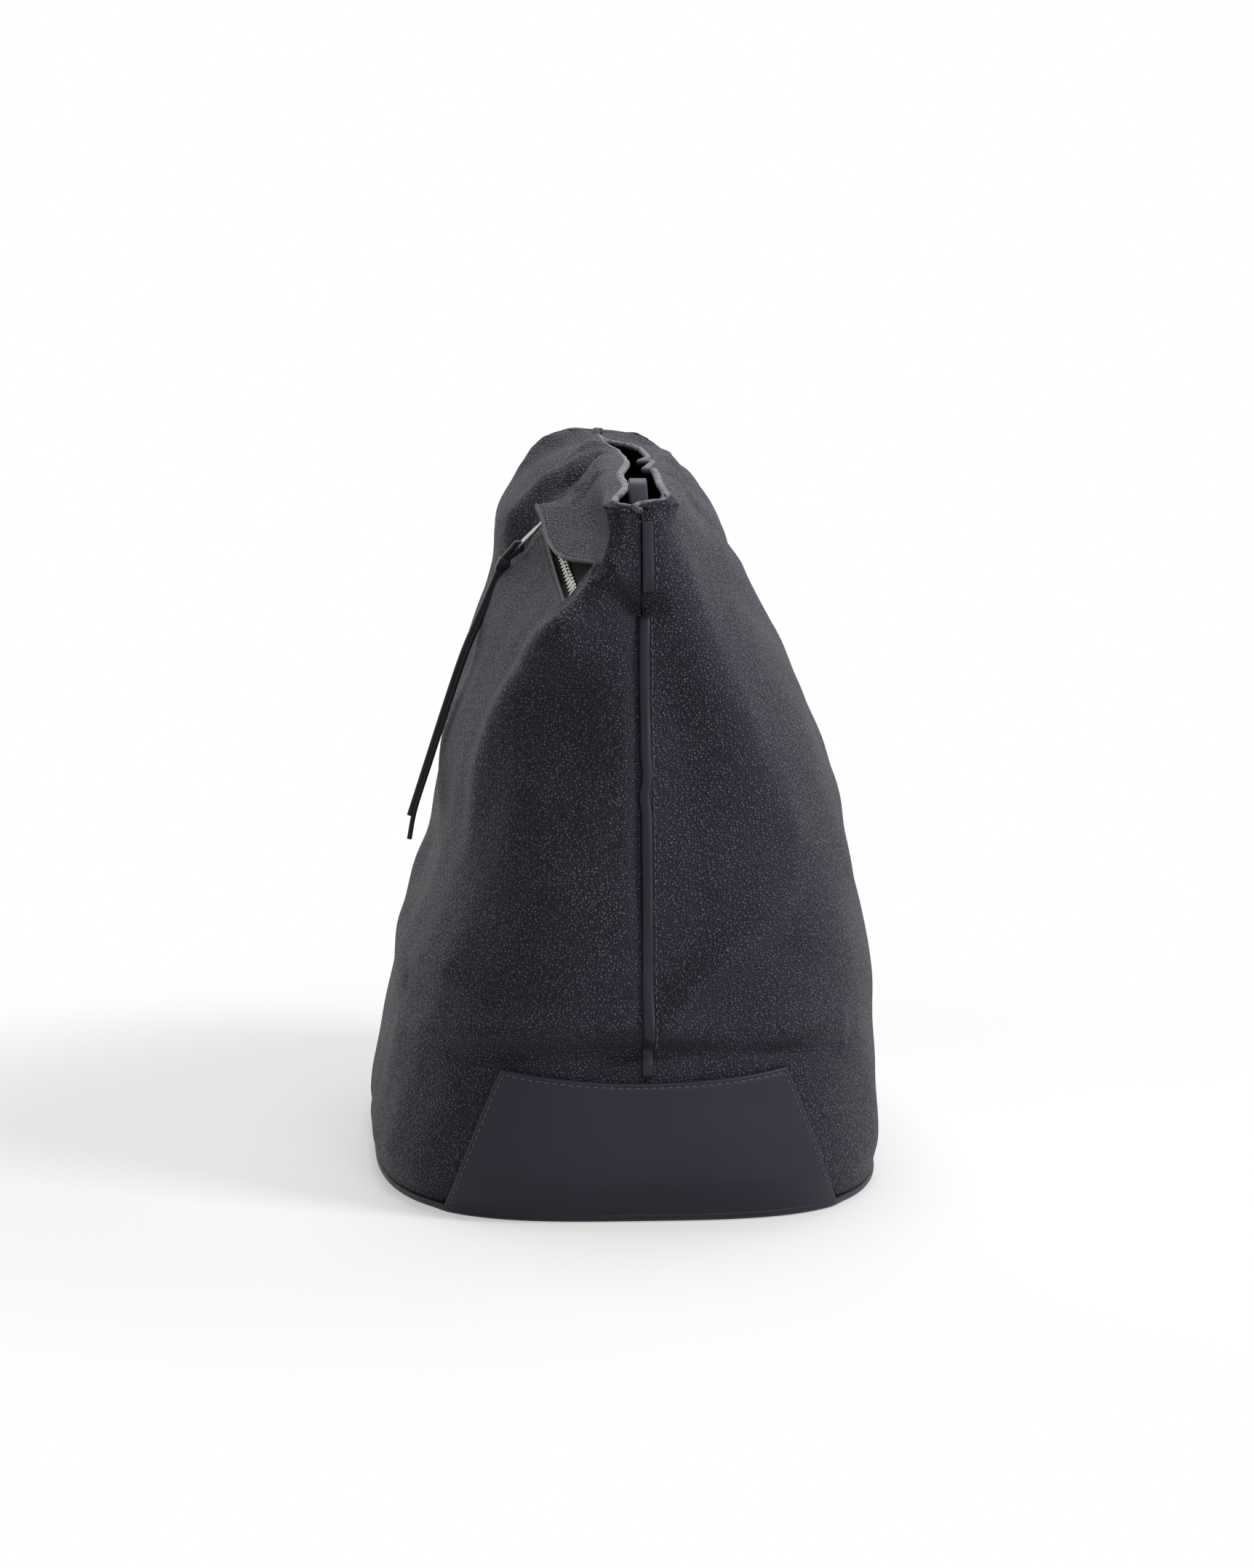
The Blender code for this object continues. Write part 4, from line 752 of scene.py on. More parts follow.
def pebbled_calf(choices):
    """Drum-tumbled calf, dyed black: rounded pebbles with fine creases between them.

    The eye sees a soft dark grey with a faint violet cast; glints on the pebble tips are partly specular,
    partly painted highlight, and painted shade darkens the gaps.
    """
    finish, tree, shader, place = new_material("pebbled_calf")
    grain = choices.sizes.grain
    drift = add_node(tree, "ShaderNodeTexNoise", {"Vector": place, "Scale": 0.35 / grain, "Detail": 2.0})
    drift = add_node(tree, "ShaderNodeVectorMath", {0: drift.outputs["Color"], 1: (0.5, 0.5, 0.5)},
                     operation="SUBTRACT")
    drift = add_node(tree, "ShaderNodeVectorMath", {0: drift.outputs[0], "Scale": grain * 1.1},
                     operation="SCALE")
    drawn = add_node(tree, "ShaderNodeVectorMath", {0: place, 1: drift.outputs[0]}, operation="ADD")
    spacing = {"Vector": drawn.outputs[0], "Scale": 1 / grain, "Randomness": 0.8}
    cells = add_node(tree, "ShaderNodeTexVoronoi", spacing, feature="F1").outputs
    edges = add_node(tree, "ShaderNodeTexVoronoi", spacing, feature="DISTANCE_TO_EDGE").outputs
    pebble = add_node(tree, "ShaderNodeMapRange", {
        "Value": cells["Distance"], "From Max": 0.75, "To Min": 1.0, "To Max": 0.0},
        interpolation_type="SMOOTHSTEP").outputs[0]
    # Painted shade: the colour darkens along the creases between the pebbles.
    painted_crease_shade = add_node(tree, "ShaderNodeMapRange", {
        "Value": edges["Distance"], "From Max": 0.16, "To Min": 0.5, "To Max": 1.0},
        interpolation_type="SMOOTHSTEP").outputs[0]
    # Pebble tips: they raise the specular level, and they also lighten the colour, a painted highlight.
    tip_glint = add_node(tree, "ShaderNodeMapRange", {
        "Value": cells["Distance"], "From Min": 0.08, "From Max": 0.30, "To Min": 1.0, "To Max": 0.0},
        interpolation_type="SMOOTHSTEP").outputs[0]
    # Random strength of the glint on each pebble, for the painted highlight and the specular level alike.
    glint_strength = add_node(tree, "ShaderNodeSeparateColor", {0: cells["Color"]}).outputs[0]
    glint_strength = add_node(tree, "ShaderNodeMapRange", {"Value": glint_strength, "To Min": 0.7, "To Max": 1.0}).outputs[0]
    tip_glint = add_node(tree, "ShaderNodeMath", {0: tip_glint, 1: glint_strength}, operation="MULTIPLY").outputs[0]
    fine = add_node(tree, "ShaderNodeTexNoise", {"Vector": place, "Scale": 2.2 / grain, "Detail": 3.0})
    height = add_node(tree, "ShaderNodeMath", {0: fine.outputs["Fac"], 1: 0.22, 2: pebble},
                      operation="MULTIPLY_ADD").outputs[0]
    bump = add_node(tree, "ShaderNodeBump", {"Height": height, "Strength": 0.9, "Distance": PEBBLE_HEIGHT})
    patch = add_node(tree, "ShaderNodeTexNoise", {"Vector": place, "Scale": 1 / LEATHER_PATCH, "Detail": 4.0})
    patch = add_node(tree, "ShaderNodeMapRange", {
        "Value": patch.outputs["Fac"], "To Min": 0.38, "To Max": 0.58}).outputs[0]
    # Painted light and shade: the colour is lighter on the domes of the pebbles and darker between them, over
    # a random tone in patches.
    tone = add_node(tree, "ShaderNodeMath", {0: pebble, 1: 0.45, 2: patch}, operation="MULTIPLY_ADD")
    tone = add_node(tree, "ShaderNodeMapRange", {
        "Value": tone.outputs[0], "From Min": 0.35, "From Max": 1.0,
        "To Min": 0.62, "To Max": 1.25}).outputs[0]
    # Painted shade in the creases.
    tone = add_node(tree, "ShaderNodeMath", {0: tone, 1: painted_crease_shade}, operation="MULTIPLY").outputs[0]
    # Painted highlight: the pebble tips lighten the colour.
    tone = add_node(tree, "ShaderNodeMath", {0: tip_glint, 1: 0.3, 2: tone}, operation="MULTIPLY_ADD").outputs[0]
    shade = add_node(tree, "ShaderNodeMix", {
        MIX_A: choices.colours.pebbled, MIX_B: tone, MIX_SHARE: 1.0}, **MULTIPLY)
    rough = add_node(tree, "ShaderNodeMapRange", {"Value": height, "To Min": 0.60, "To Max": 0.34})
    shine = add_node(tree, "ShaderNodeMapRange", {"Value": tip_glint, "To Min": 0.07, "To Max": 0.95})
    set_inputs(tree, shader, {
        "Base Color": shade.outputs[MIX_COLOUR], "Normal": bump.outputs[0], "Roughness": rough.outputs[0],
        "Specular IOR Level": shine.outputs[0]})
    return finish


def smooth_calf(choices, name, colour, roughness, scuffs=0.0, wrinkles=0.0):
    """Box calf, dyed through and lightly waxed: even, with a very fine grain.

    The eye sees an almost flat dark grey with a broad soft sheen, and pale scuffs where it rubs.
    A turned edge has wrinkles, given by their width, in place of the fine grain, with painted shade in their
    hollows and painted light on their crests.
    """
    finish, tree, shader, place = new_material(name)
    patch = add_node(tree, "ShaderNodeTexNoise", {"Vector": place, "Scale": 1 / CALF_PATCH, "Detail": 5.0})
    patch = patch.outputs["Fac"]
    grain, depth, strength = wrinkles or CALF_PORE, wrinkles / 2 or PORE_DEPTH, 1.0 if wrinkles else 0.35
    relief = add_node(tree, "ShaderNodeTexNoise", {"Vector": place, "Scale": 1 / grain, "Detail": 3.0})
    relief = relief.outputs["Fac"]
    bump = add_node(tree, "ShaderNodeBump", {"Height": relief, "Strength": strength, "Distance": depth})
    # Painted light and shade on a turned edge: the colour follows the wrinkles' relief, darker in the hollows
    # and lighter on the crests.
    if wrinkles:
        tone = {"Value": relief, "From Min": 0.35, "From Max": 0.65, "To Min": 0.35, "To Max": 1.35}
    else:
        tone = {"Value": patch, "From Min": 0.3, "From Max": 0.7, "To Min": 0.88, "To Max": 1.12}
    tone = add_node(tree, "ShaderNodeMapRange", tone).outputs[0]
    shade = add_node(tree, "ShaderNodeMix", {MIX_A: colour, MIX_B: tone, MIX_SHARE: 1.0},
                     **MULTIPLY).outputs[MIX_COLOUR]
    if scuffs:
        drawn = add_node(tree, "ShaderNodeMapping", {
            "Vector": place, "Rotation": (0.6, 0.0, 0.0), "Scale": (1.0, 0.16, 1.0)}).outputs[0]
        rub = add_node(tree, "ShaderNodeTexNoise", {"Vector": drawn, "Scale": 1 / SCUFF_WIDTH, "Detail": 4.0})
        where = add_node(tree, "ShaderNodeTexNoise", {
            "Vector": place, "Scale": 1 / SCUFF_PATCH, "Detail": 1.0})
        rub = add_node(tree, "ShaderNodeMath", {0: rub.outputs["Fac"], 1: where.outputs["Fac"]},
                       operation="MULTIPLY").outputs[0]
        rub = add_node(tree, "ShaderNodeMapRange", {
            "Value": rub, "From Min": 0.36, "From Max": 0.50, "To Max": scuffs}).outputs[0]
        shade = add_node(tree, "ShaderNodeMix", {MIX_A: shade, MIX_B: choices.colours.edge, MIX_SHARE: rub},
                         data_type="RGBA").outputs[MIX_COLOUR]
    rough = add_node(tree, "ShaderNodeMapRange", {
        "Value": patch, "From Min": 0.3, "From Max": 0.7,
        "To Min": roughness - 0.05, "To Max": roughness + 0.06})
    set_inputs(tree, shader, {
        "Base Color": shade, "Normal": bump.outputs[0], "Roughness": rough.outputs[0],
        "Specular IOR Level": 0.25})
    return finish


def woven_cloth(name, colour, thread, slant):
    """Cotton cloth, a twill for the lining and a plain weave for the tape.

    The eye sees matt dark cloth with thread lines that catch a little light.
    """
    finish, tree, shader, place = new_material(name)
    turned = add_node(tree, "ShaderNodeMapping", {"Vector": place, "Rotation": (0.35, 0.6, slant)}).outputs[0]
    lines = add_node(tree, "ShaderNodeTexWave", {
        "Vector": turned, "Scale": WAVE_SPACING / thread, "Distortion": 0.6, "Detail": 2.0}).outputs["Fac"]
    bump = add_node(tree, "ShaderNodeBump", {"Height": lines, "Strength": 0.5, "Distance": thread * 0.2})
    tone = add_node(tree, "ShaderNodeMapRange", {"Value": lines, "To Min": 0.75, "To Max": 1.15}).outputs[0]
    shade = add_node(tree, "ShaderNodeMix", {MIX_A: colour, MIX_B: tone, MIX_SHARE: 1.0}, **MULTIPLY)
    set_inputs(tree, shader, {
        "Base Color": shade.outputs[MIX_COLOUR], "Normal": bump.outputs[0], "Roughness": 0.9,
        "Specular IOR Level": 0.2})
    return finish


def nickel_plate(choices):
    """Nickel plate on die-cast zinc: bright and warm grey, with hairline wear that breaks the reflections."""
    finish, tree, shader, place = new_material("nickel_plate")
    wear = add_node(tree, "ShaderNodeTexNoise", {"Vector": place, "Scale": 1 / METAL_WEAR, "Detail": 5.0})
    wear = wear.outputs["Fac"]
    rough = add_node(tree, "ShaderNodeMapRange", {
        "Value": wear, "From Min": 0.3, "From Max": 0.7, "To Min": 0.18, "To Max": 0.34}).outputs[0]
    tone = add_node(tree, "ShaderNodeMapRange", {"Value": wear, "To Min": 0.86, "To Max": 1.08}).outputs[0]
    shade = add_node(tree, "ShaderNodeMix", {
        MIX_A: choices.colours.nickel, MIX_B: tone, MIX_SHARE: 1.0}, **MULTIPLY)
    set_inputs(tree, shader, {"Base Color": shade.outputs[MIX_COLOUR], "Roughness": rough, "Metallic": 1.0})
    return finish


def flecked(name, colour, size, detail, roughness):
    """Matt material with small light and dark flecks."""
    finish, tree, shader, place = new_material(name)
    fleck = add_node(tree, "ShaderNodeTexNoise", {"Vector": place, "Scale": 1 / size, "Detail": detail})
    tone = add_node(tree, "ShaderNodeMapRange", {
        "Value": fleck.outputs["Fac"], "To Min": 0.7, "To Max": 1.3}).outputs[0]
    shade = add_node(tree, "ShaderNodeMix", {MIX_A: colour, MIX_B: tone, MIX_SHARE: 1.0}, **MULTIPLY)
    set_inputs(tree, shader, {"Base Color": shade.outputs[MIX_COLOUR], "Roughness": roughness})
    return finish


def spun_thread(choices):
    """Waxed polyester thread, twisted: dark, with a dull sheen along the twist."""
    return flecked("spun_thread", choices.colours.thread, THREAD_TWIST, 2.0, 0.55)


def grey_board(choices):
    """Pressed fibre board: matt grey with flecks of fibre."""
    return flecked("grey_board", choices.colours.board, BOARD_FLECK, 6.0, 0.95)


FINISHES = {}


def finish_of(choices, name):
    """Material of one finish, made on first use."""
    if name not in FINISHES:
        colours = choices.colours
        makers = {
            "pebbled": lambda: pebbled_calf(choices),
            "base": lambda: smooth_calf(choices, "smooth_calf_base", colours.smooth, 0.50, scuffs=0.15),
            "trim": lambda: smooth_calf(choices, "smooth_calf_trim", colours.smooth, 0.40),
            "strap": lambda: smooth_calf(choices, "smooth_calf_strap", colours.strap, 0.48),
            "thong": lambda: smooth_calf(choices, "smooth_calf_thong", colours.thong, 0.42),
            # The pale grey of the turned edge is partly its own lighter colour and partly a painted
            # highlight.
            "edge": lambda: smooth_calf(choices, "turned_calf_edge", colours.edge, 0.55,
                                        wrinkles=EDGE_WRINKLE),
            "lining": lambda: woven_cloth("cotton_twill", colours.lining, TWILL_THREAD, 0.5),
            "tape": lambda: woven_cloth("woven_zip_tape", colours.tape, TAPE_THREAD, 0.0),
            "nickel": lambda: nickel_plate(choices),
            "thread": lambda: spun_thread(choices),
            "board": lambda: grey_board(choices),
        }
        FINISHES[name] = makers[name]()
    return FINISHES[name]


# Body, base and trim; lengths in metres, heights up the wall as shares of it

ROW_SPANS = [(0.0, 0.17, 33), (0.17, 0.68, 77), (0.68, 1.0, 87)]
COLUMN_SPANS = [(0.0, 0.25, 88), (0.25, 0.55, 70), (0.55, 0.80, 26), (0.80, 1.0, 40)]
WINDOW_RADIUS = ZIP_WINDOW / 2
WINDOW_REACH = ZIP_LENGTH / 2 - WINDOW_RADIUS
WINDOW_DEPTH = 0.004
WINDOW_LOWEST_SHARE = 0.6
FLAP_STATION = -0.3
LIP_STEPS, LIP_SIDES, LIP_FULLNESS = 420, 8, 0.52
RIM_STEPS, RIM_SIDES, RIM_FLATNESS = 330, 10, 0.85
RIM_SEAT, RIM_BELOW_SHARE = 0.6, 0.985
WELT_OVERLAP, WELT_SINK = 0.003, 0.0008
WELT_COLUMNS, WELT_CROWN_POWER = 11, 5
LOWER_WELT_TOP, LOWER_WELT_SHIFT, LOWER_WELT_ROWS = 0.735, 0.0012, 90
UPPER_WELT_SPAN, UPPER_WELT_SHIFT, UPPER_WELT_ROWS = (0.765, 0.925), 0.0029, 36
FAR_WELT_TOP, FAR_WELT_ROWS = 0.955, 110
WELT_KINK, KINK_SHARE, KINK_SPREAD, KINK_RATE = 0.0010, 0.52, 0.03, 90
TAB_EDGE_STEPS = np.array([0.0, 0.15, 0.4, 0.8, 1.3, 1.8, 2.3, 2.7, 3.1, 3.6, 4.2, 5.5]) / MM
TAB_COLUMNS, TAB_ROWS = 42, 26
TAB_CURL_WIDTH, TAB_CURL_DEPTH = 0.0016, 0.0015
TAB_SIDE_SLANT = 0.93
TAB_UNDERSIDE = 0.0006
TAB_FOOT_STEPS = [(0.0016, -0.0028), (0.0002, -0.0012)]
STITCH_INSET = 0.0027
STITCH_GROOVE, STITCH_GROOVE_WIDTH = 0.0003, 0.0006
BASE_POINTS, BASE_EDGE_STEPS, BASE_TOP_EDGE = 300, 6, 0.0003
BASE_SIDE_INSET, BASE_SIDE_SPAN = 0.0019, (-0.004, 0.012)


def panel_mesh(name, side):
    """Outer skin of one half of the body; the front one has the zip window."""
    heights, stations = stretched(ROW_SPANS), stretched(COLUMN_SPANS) * side
    rows, columns = len(heights), len(stations)
    flat_heights, flat_stations = np.repeat(heights, columns), np.tile(stations, rows)
    points, normals = wall_at(flat_heights, flat_stations)
    faces = np.array(grid_faces(rows, columns))
    if side == FRONT:
        local = on_zip(points)
        core = np.clip(local[:, 0], -WINDOW_REACH, WINDOW_REACH)
        spoke = np.stack([local[:, 0] - core, local[:, 1]], axis=1)
        length = np.linalg.norm(spoke, axis=1)
        inside = (length < WINDOW_RADIUS) & (np.abs(local[:, 2]) < WINDOW_DEPTH)
        inside &= flat_heights > WINDOW_LOWEST_SHARE
        faces = faces[~inside[faces].all(axis=1)]
        used = np.zeros(len(points), bool)
        used[faces.ravel()] = True
        lip = inside & used
        spoke = spoke[lip] / np.maximum(length[lip], 1e-9)[:, None] * WINDOW_RADIUS
        local[lip, 0] = core[lip] + spoke[:, 0]
        local[lip, 1] = spoke[:, 1]
        points[lip] = ZIP_ORIGIN + local[lip] @ ZIP_AXES.T
    points = slump(points, normals, flat_heights, flat_stations + SEAM_NUDGE * side)
    grid = points.reshape(rows, columns, 3)
    for column in (0, -1):
        grid[:, column, 1] = side * SEAM_GAP / 2
    body = bmesh.new()
    made = [body.verts.new(tuple(point)) for point in points]
    for face in faces:
        body.faces.new([made[k] for k in face[::side]])
    loose = [vertex for vertex in body.verts if not vertex.link_faces]
    bmesh.ops.delete(body, geom=loose, context="VERTS")
    mesh = bpy.data.meshes.new(name)
    body.to_mesh(mesh)
    body.free()
    return mesh


def zip_point(u, v, level=0.0):
    """Point given along, across and above the zip."""
    return ZIP_ORIGIN + ZIP_AXES @ np.array((u, v, level))


def window_line(count, outset=0.0):
    """Points along the lip of the zip window, after the slump."""
    radius = WINDOW_RADIUS + outset
    straight, bend = 2 * WINDOW_REACH, math.pi * radius
    line = []
    for run in np.linspace(0, 2 * (straight + bend), count, endpoint=False):
        turned, rest = run >= straight + bend, run % (straight + bend)
        angle = max(rest - straight, 0.0) / radius - math.pi / 2
        u = -WINDOW_REACH + min(rest, straight) + radius * math.cos(angle)
        v = radius * math.sin(angle)
        line.append(zip_point(-u, -v) if turned else zip_point(u, v))
    line = np.array(line)
    return line + flap_shift(line, np.full(count, FLAP_STATION)) / MM


def make_body(choices):
    """The two pebbled halves and the turned lip round the zip window."""
    thickness = choices.sizes.leather
    for name, node, side in (("front_leather", "front_panel", FRONT), ("back_leather", "back_panel", BACK)):
        piece = add_piece(name, panel_mesh(name, side), finish_of(choices, "pebbled"),
                          "bag", [node])
        thicken(piece, thickness)
    line = window_line(LIP_STEPS)
    outward = np.tile(ZIP_OUT, (len(line), 1))
    across = np.cross(unit(np.roll(line, -1, axis=0) - np.roll(line, 1, axis=0)), outward)
    seat = line - outward * thickness / 2
    rings = oval_rings(seat, outward, across, thickness * LIP_FULLNESS, 1.0, LIP_SIDES)
    add_piece("zip_lip", mesh_from("zip_lip", *tube(rings, closed=True)), finish_of(choices, "thong"),
              "bag")


def make_mouth_rim(choices):
    """Turned edge round the mouth, following the gathers."""
    sizes = choices.sizes
    stations = round_trip(RIM_STEPS)
    points = leather(np.full(len(stations), 1.0), stations)[0]
    below = leather(np.full(len(stations), RIM_BELOW_SHARE), stations)[0]
    upward = unit(points - below)
    outward = unit(np.cross(np.roll(points, -1, axis=0) - np.roll(points, 1, axis=0), upward))
    seat = points - outward * sizes.leather / 2 + upward * sizes.rim_radius * RIM_SEAT
    rings = oval_rings(seat, outward, upward, sizes.rim_radius, RIM_FLATNESS, RIM_SIDES)
    add_piece("mouth_edge", mesh_from("mouth_edge", *tube(rings, closed=True)), finish_of(choices, "edge"),
              "bag", ["mouth_rim"])


def seam_strip(choices, heights, centre, far=False):
    """Raised strip along an end seam; centre is its shift across the seam at each height."""
    across = np.linspace(-1, 1, WELT_COLUMNS)
    rows = np.repeat(heights, WELT_COLUMNS)
    arcs = (across[None, :] * choices.sizes.welt_width / 2 + np.asarray(centre)[:, None]).ravel()
    stations = arcs / length_at(rows, arcs)
    points, normals = leather(rows, 1 - stations if far else stations)
    points, normals = points.reshape(-1, WELT_COLUMNS, 3), normals.reshape(-1, WELT_COLUMNS, 3)
    crown = choices.sizes.welt_thickness * (1 - np.abs(across) ** WELT_CROWN_POWER) ** 0.5
    top = points + normals * crown[None, :, None]
    under = [WELT_COLUMNS - 1, WELT_COLUMNS // 2, 0]
    bottom = points[:, under] - normals[:, under] * WELT_SINK
    return tube(list(np.concatenate([top, bottom], axis=1)))


def make_welts(choices):
    """Raised strips over the end seams; the near one is in two pieces."""
    low = np.linspace(share_at_height(TAB_HEIGHT - WELT_OVERLAP), LOWER_WELT_TOP, LOWER_WELT_ROWS)
    past = low - KINK_SHARE
    kink = WELT_KINK * np.exp(-(past / KINK_SPREAD) ** 2) * np.sin(past * KINK_RATE)
    high = np.linspace(*UPPER_WELT_SPAN, UPPER_WELT_ROWS)
    near = joined([seam_strip(choices, low, LOWER_WELT_SHIFT + kink),
                   seam_strip(choices, high, np.full(len(high), UPPER_WELT_SHIFT))])
    heights = np.linspace(share_at_height(TAB_HEIGHT - WELT_OVERLAP, 1.0), FAR_WELT_TOP, FAR_WELT_ROWS)
    far = seam_strip(choices, heights, np.zeros(len(heights)), far=True)
    for name, shape, node in (("near_welt_strip", near, "near_end_welt"),
                              ("far_welt_strip", far, "far_end_welt")):
        add_piece(name, mesh_from(name, *shape), finish_of(choices, "trim"), "bag", [node])


def tab_place(t, arc, far):
    """Wall points and normals on a base tab: t runs up it, arc is the distance from its middle."""
    t, arc = np.asarray(t, float), np.asarray(arc, float)
    share = share_at_height(TAB_HEIGHT, 1.0 if far else 0.0)
    inward = np.maximum(1.0 - (arc / TAB_TOP_HALF_WIDTH) ** 2, 0.0)
    heights = share * t * (1.0 - TAB_DIP / TAB_HEIGHT * inward)
    stations = arc / length_at(heights, arc)
    return wall_at(heights, 1.0 - stations if far else stations)


def tab_half(t):
    """Half the width of a tab."""
    return TAB_FOOT_HALF_WIDTH + (TAB_TOP_HALF_WIDTH - TAB_FOOT_HALF_WIDTH) * t


def tab_mesh(far):
    """Vertices and faces of one turned-up tab, with rolled edges and a sunk stitch line."""
    side, top = TAB_EDGE_STEPS / TAB_TOP_HALF_WIDTH, TAB_EDGE_STEPS / TAB_HEIGHT
    middle = np.linspace(-1 + side[-1], 1 - side[-1], TAB_COLUMNS)[1:-1]
    across = np.concatenate([-1 + side, middle, (1 - side)[::-1]])
    climb = np.concatenate([np.linspace(0, 1 - top[-1], TAB_ROWS)[:-1], (1 - top)[::-1]])
    t, a = np.repeat(climb, len(across)), np.tile(across, len(climb))
    points, normals = tab_place(t, a * tab_half(t), far)
    rim = np.minimum((1 - np.abs(a)) * tab_half(t) * TAB_SIDE_SLANT, (1 - t) * TAB_HEIGHT)
    curl = np.clip(1 - rim / TAB_CURL_WIDTH, 0.0, 1.0)
    groove = STITCH_GROOVE * np.exp(-((rim - STITCH_INSET) / STITCH_GROOVE_WIDTH) ** 2)
    lift = TAB_OUTSET - TAB_CURL_DEPTH * (1 - np.sqrt(1 - curl ** 2)) - groove
    outer, inner = points + normals * lift[:, None], points + normals * TAB_UNDERSIDE
    columns = len(across)
    foot, low = outer[:columns], inner[:columns]
    pull = unit(foot * np.array((1.0, 1.0, 0.0)))
    outer = np.concatenate([foot - pull * inset + (0, 0, drop) for inset, drop in TAB_FOOT_STEPS] + [outer])
    inner = np.concatenate([low + (0, 0, drop) for _, drop in TAB_FOOT_STEPS] + [inner])
    rows = len(climb) + len(TAB_FOOT_STEPS)
    size = rows * columns
    faces = grid_faces(rows, columns) + grid_faces(rows, columns, size)
    for i in range(rows - 1):
        for j in (0, columns - 1):
            a = i * columns + j
            faces.append((a, a + columns, a + columns + size, a + size))
    for j in range(columns - 1):
        for i in (0, rows - 1):
            a = i * columns + j
            faces.append((a, a + 1, a + 1 + size, a + size))
    return list(outer) + list(inner), faces


def base_ring(inset, level):
    """Outline of the base at one level: out to the tabs at both ends, almost flush along the sides."""
    stations = np.linspace(-1.0, 1.0, BASE_POINTS + 1)[:-1]
    points = wall(0.0, stations)[:, :2]
    tangent = np.roll(points, -1, axis=0) - np.roll(points, 1, axis=0)
    outward = unit(np.stack([tangent[:, 1], -tangent[:, 0]], axis=1))
    arc = np.minimum(np.abs(stations), 1 - np.abs(stations)) * HALF_LENGTHS[0, 0]
    start, end = (TAB_FOOT_HALF_WIDTH + shift for shift in BASE_SIDE_SPAN)
    outset = TAB_OUTSET - BASE_SIDE_INSET * smooth(arc, start, end)
    return [(x, y, level) for x, y in points + outward * (outset - inset)[:, None]]


def make_base(choices):
    """Smooth base with its two end tabs."""
    rings = []
    for angle in np.linspace(0, math.pi / 2, BASE_EDGE_STEPS + 1):
        inset, level = BASE_EDGE_ROUND * (1 - math.sin(angle)), BASE_EDGE_ROUND * (1 - math.cos(angle))
        rings.append(base_ring(inset, level))
    rings.append(base_ring(0.0, BASE_THICKNESS - BASE_TOP_EDGE))
    rings.append(base_ring(BASE_TOP_EDGE, BASE_THICKNESS))
    shape = joined([tube(rings), tab_mesh(False), tab_mesh(True)])
    add_piece("base_leather", mesh_from("base_leather", *shape), finish_of(choices, "base"),
              "bag", ["base_panel"])


# Lining and strap

LINING_FOOT_LEVEL, LINING_FLOOR, LINING_TOP_SHARE = 0.0133, 0.0073, 0.93
LINING_ROWS, LINING_STEPS = 76, 90
LINING_THICKNESS = 0.0008
LINING_GAP, LINING_SLACK = 0.0023, 0.0026
LINING_FOOT_SHARES, LINING_MOUTH_SHARES, LINING_MOUTH_DRAW = (0.0, 0.10), (0.90, 0.96), 0.75
LINING_MARGIN = 0.0024
POCKET_ROOM, POUCH_EDGE = 0.0077, 0.0002
POCKET_SIDES, POCKET_FOOT, POCKET_TOP = (0.077, 0.093), (-0.130, -0.097), (0.018, 0.032)


def lining_row(h, stations):
    """One row of the lining: behind the leather, its hollows and the pocket pouch."""
    heights = np.full(len(stations), h)
    points, normals = wall_at(heights, stations)
    settled = slump(points, normals, heights, stations)
    moved = np.einsum("ij,ij->i", settled - points, normals)
    u, v, _ = on_zip(points).T
    pocket = (1 - smooth(np.abs(u), *POCKET_SIDES)) * smooth(v, *POCKET_FOOT)
    pocket *= (1 - smooth(v, *POCKET_TOP)) * (stations < 0)
    draw = smooth(h, *LINING_FOOT_SHARES) + LINING_MOUTH_DRAW * smooth(h, *LINING_MOUTH_SHARES)
    depth = LINING_GAP + LINING_SLACK * (2.0 - draw) + POCKET_ROOM * pocket
    depth += np.maximum(-moved - LINING_MARGIN, 0.0)
    return points - normals * depth[:, None]


def make_lining(choices):
    """Cloth bag inside the leather, the pocket pouch and the stiff board."""
    stations = round_trip(LINING_STEPS)
    heights = np.linspace(share_at_height(LINING_FOOT_LEVEL), LINING_TOP_SHARE, LINING_ROWS)
    rings = [lining_row(h, stations) for h in heights]
    rings[0][:, 2] = LINING_FLOOR
    vertices, faces = tube(rings)
    faces.pop()  # the mouth stays open
    cloth = finish_of(choices, "lining")
    piece = add_piece("lining_cloth", mesh_from("lining_cloth", vertices, faces), cloth,
                      "bag", ["lining"])
    thicken(piece, LINING_THICKNESS)
    rounded_copy("pocket_pouch", "pocket_bag", cloth, "bag", POUCH_EDGE)
    board = frame["nodes"]["base_board"]
    board.data.materials.clear()
    board.data.materials.append(finish_of(choices, "board"))


# Middle line of the strap in millimetres, along the bag and up, from the near anchor to the far one.
# The fold at the mouth and the two bends above the floor are arcs. Apart from the fold, the strap lies a
# little behind the middle of the bag
STRAP_NEAR_SEAT = [(166.6, 224.9), (162.9, 241.6), (157.9, 258.8)]
STRAP_NEAR_HANG = [(149, 214.5), (158.2, 163.1), (165.5, 110.2), (164.3, 74.8)]
STRAP_FAR_HANG = [(-165.1, 68.5), (-162.6, 110), (-156.6, 164.1)]
STRAP_FAR_SEAT = [(-168.2, 227.6), (-165.6, 246.9), (-162.9, 268.3)]
STRAP_FOLD, STRAP_FOLD_RADIUS, STRAP_FOLD_POINTS = (143.0, 319.93), 5.5, 7
STRAP_BEND_LEVEL, STRAP_BEND_RADIUS, STRAP_BEND_POINTS = 39.6, 30.0, 5
STRAP_DRIFT = 6
STRAP_STEP = 0.004
STRAP_EASING = 3
STRIP_CORNER = 0.0005
ANCHOR_EDGE = 0.0006


def arc_points(centre, radius, start, finish, count):
    """Points of an arc to 0.1 mm, angles in degrees."""
    angles = np.radians(np.linspace(start, finish, count))
    return np.round(np.array(centre) + radius * np.stack([np.cos(angles), np.sin(angles)], axis=1), 1)


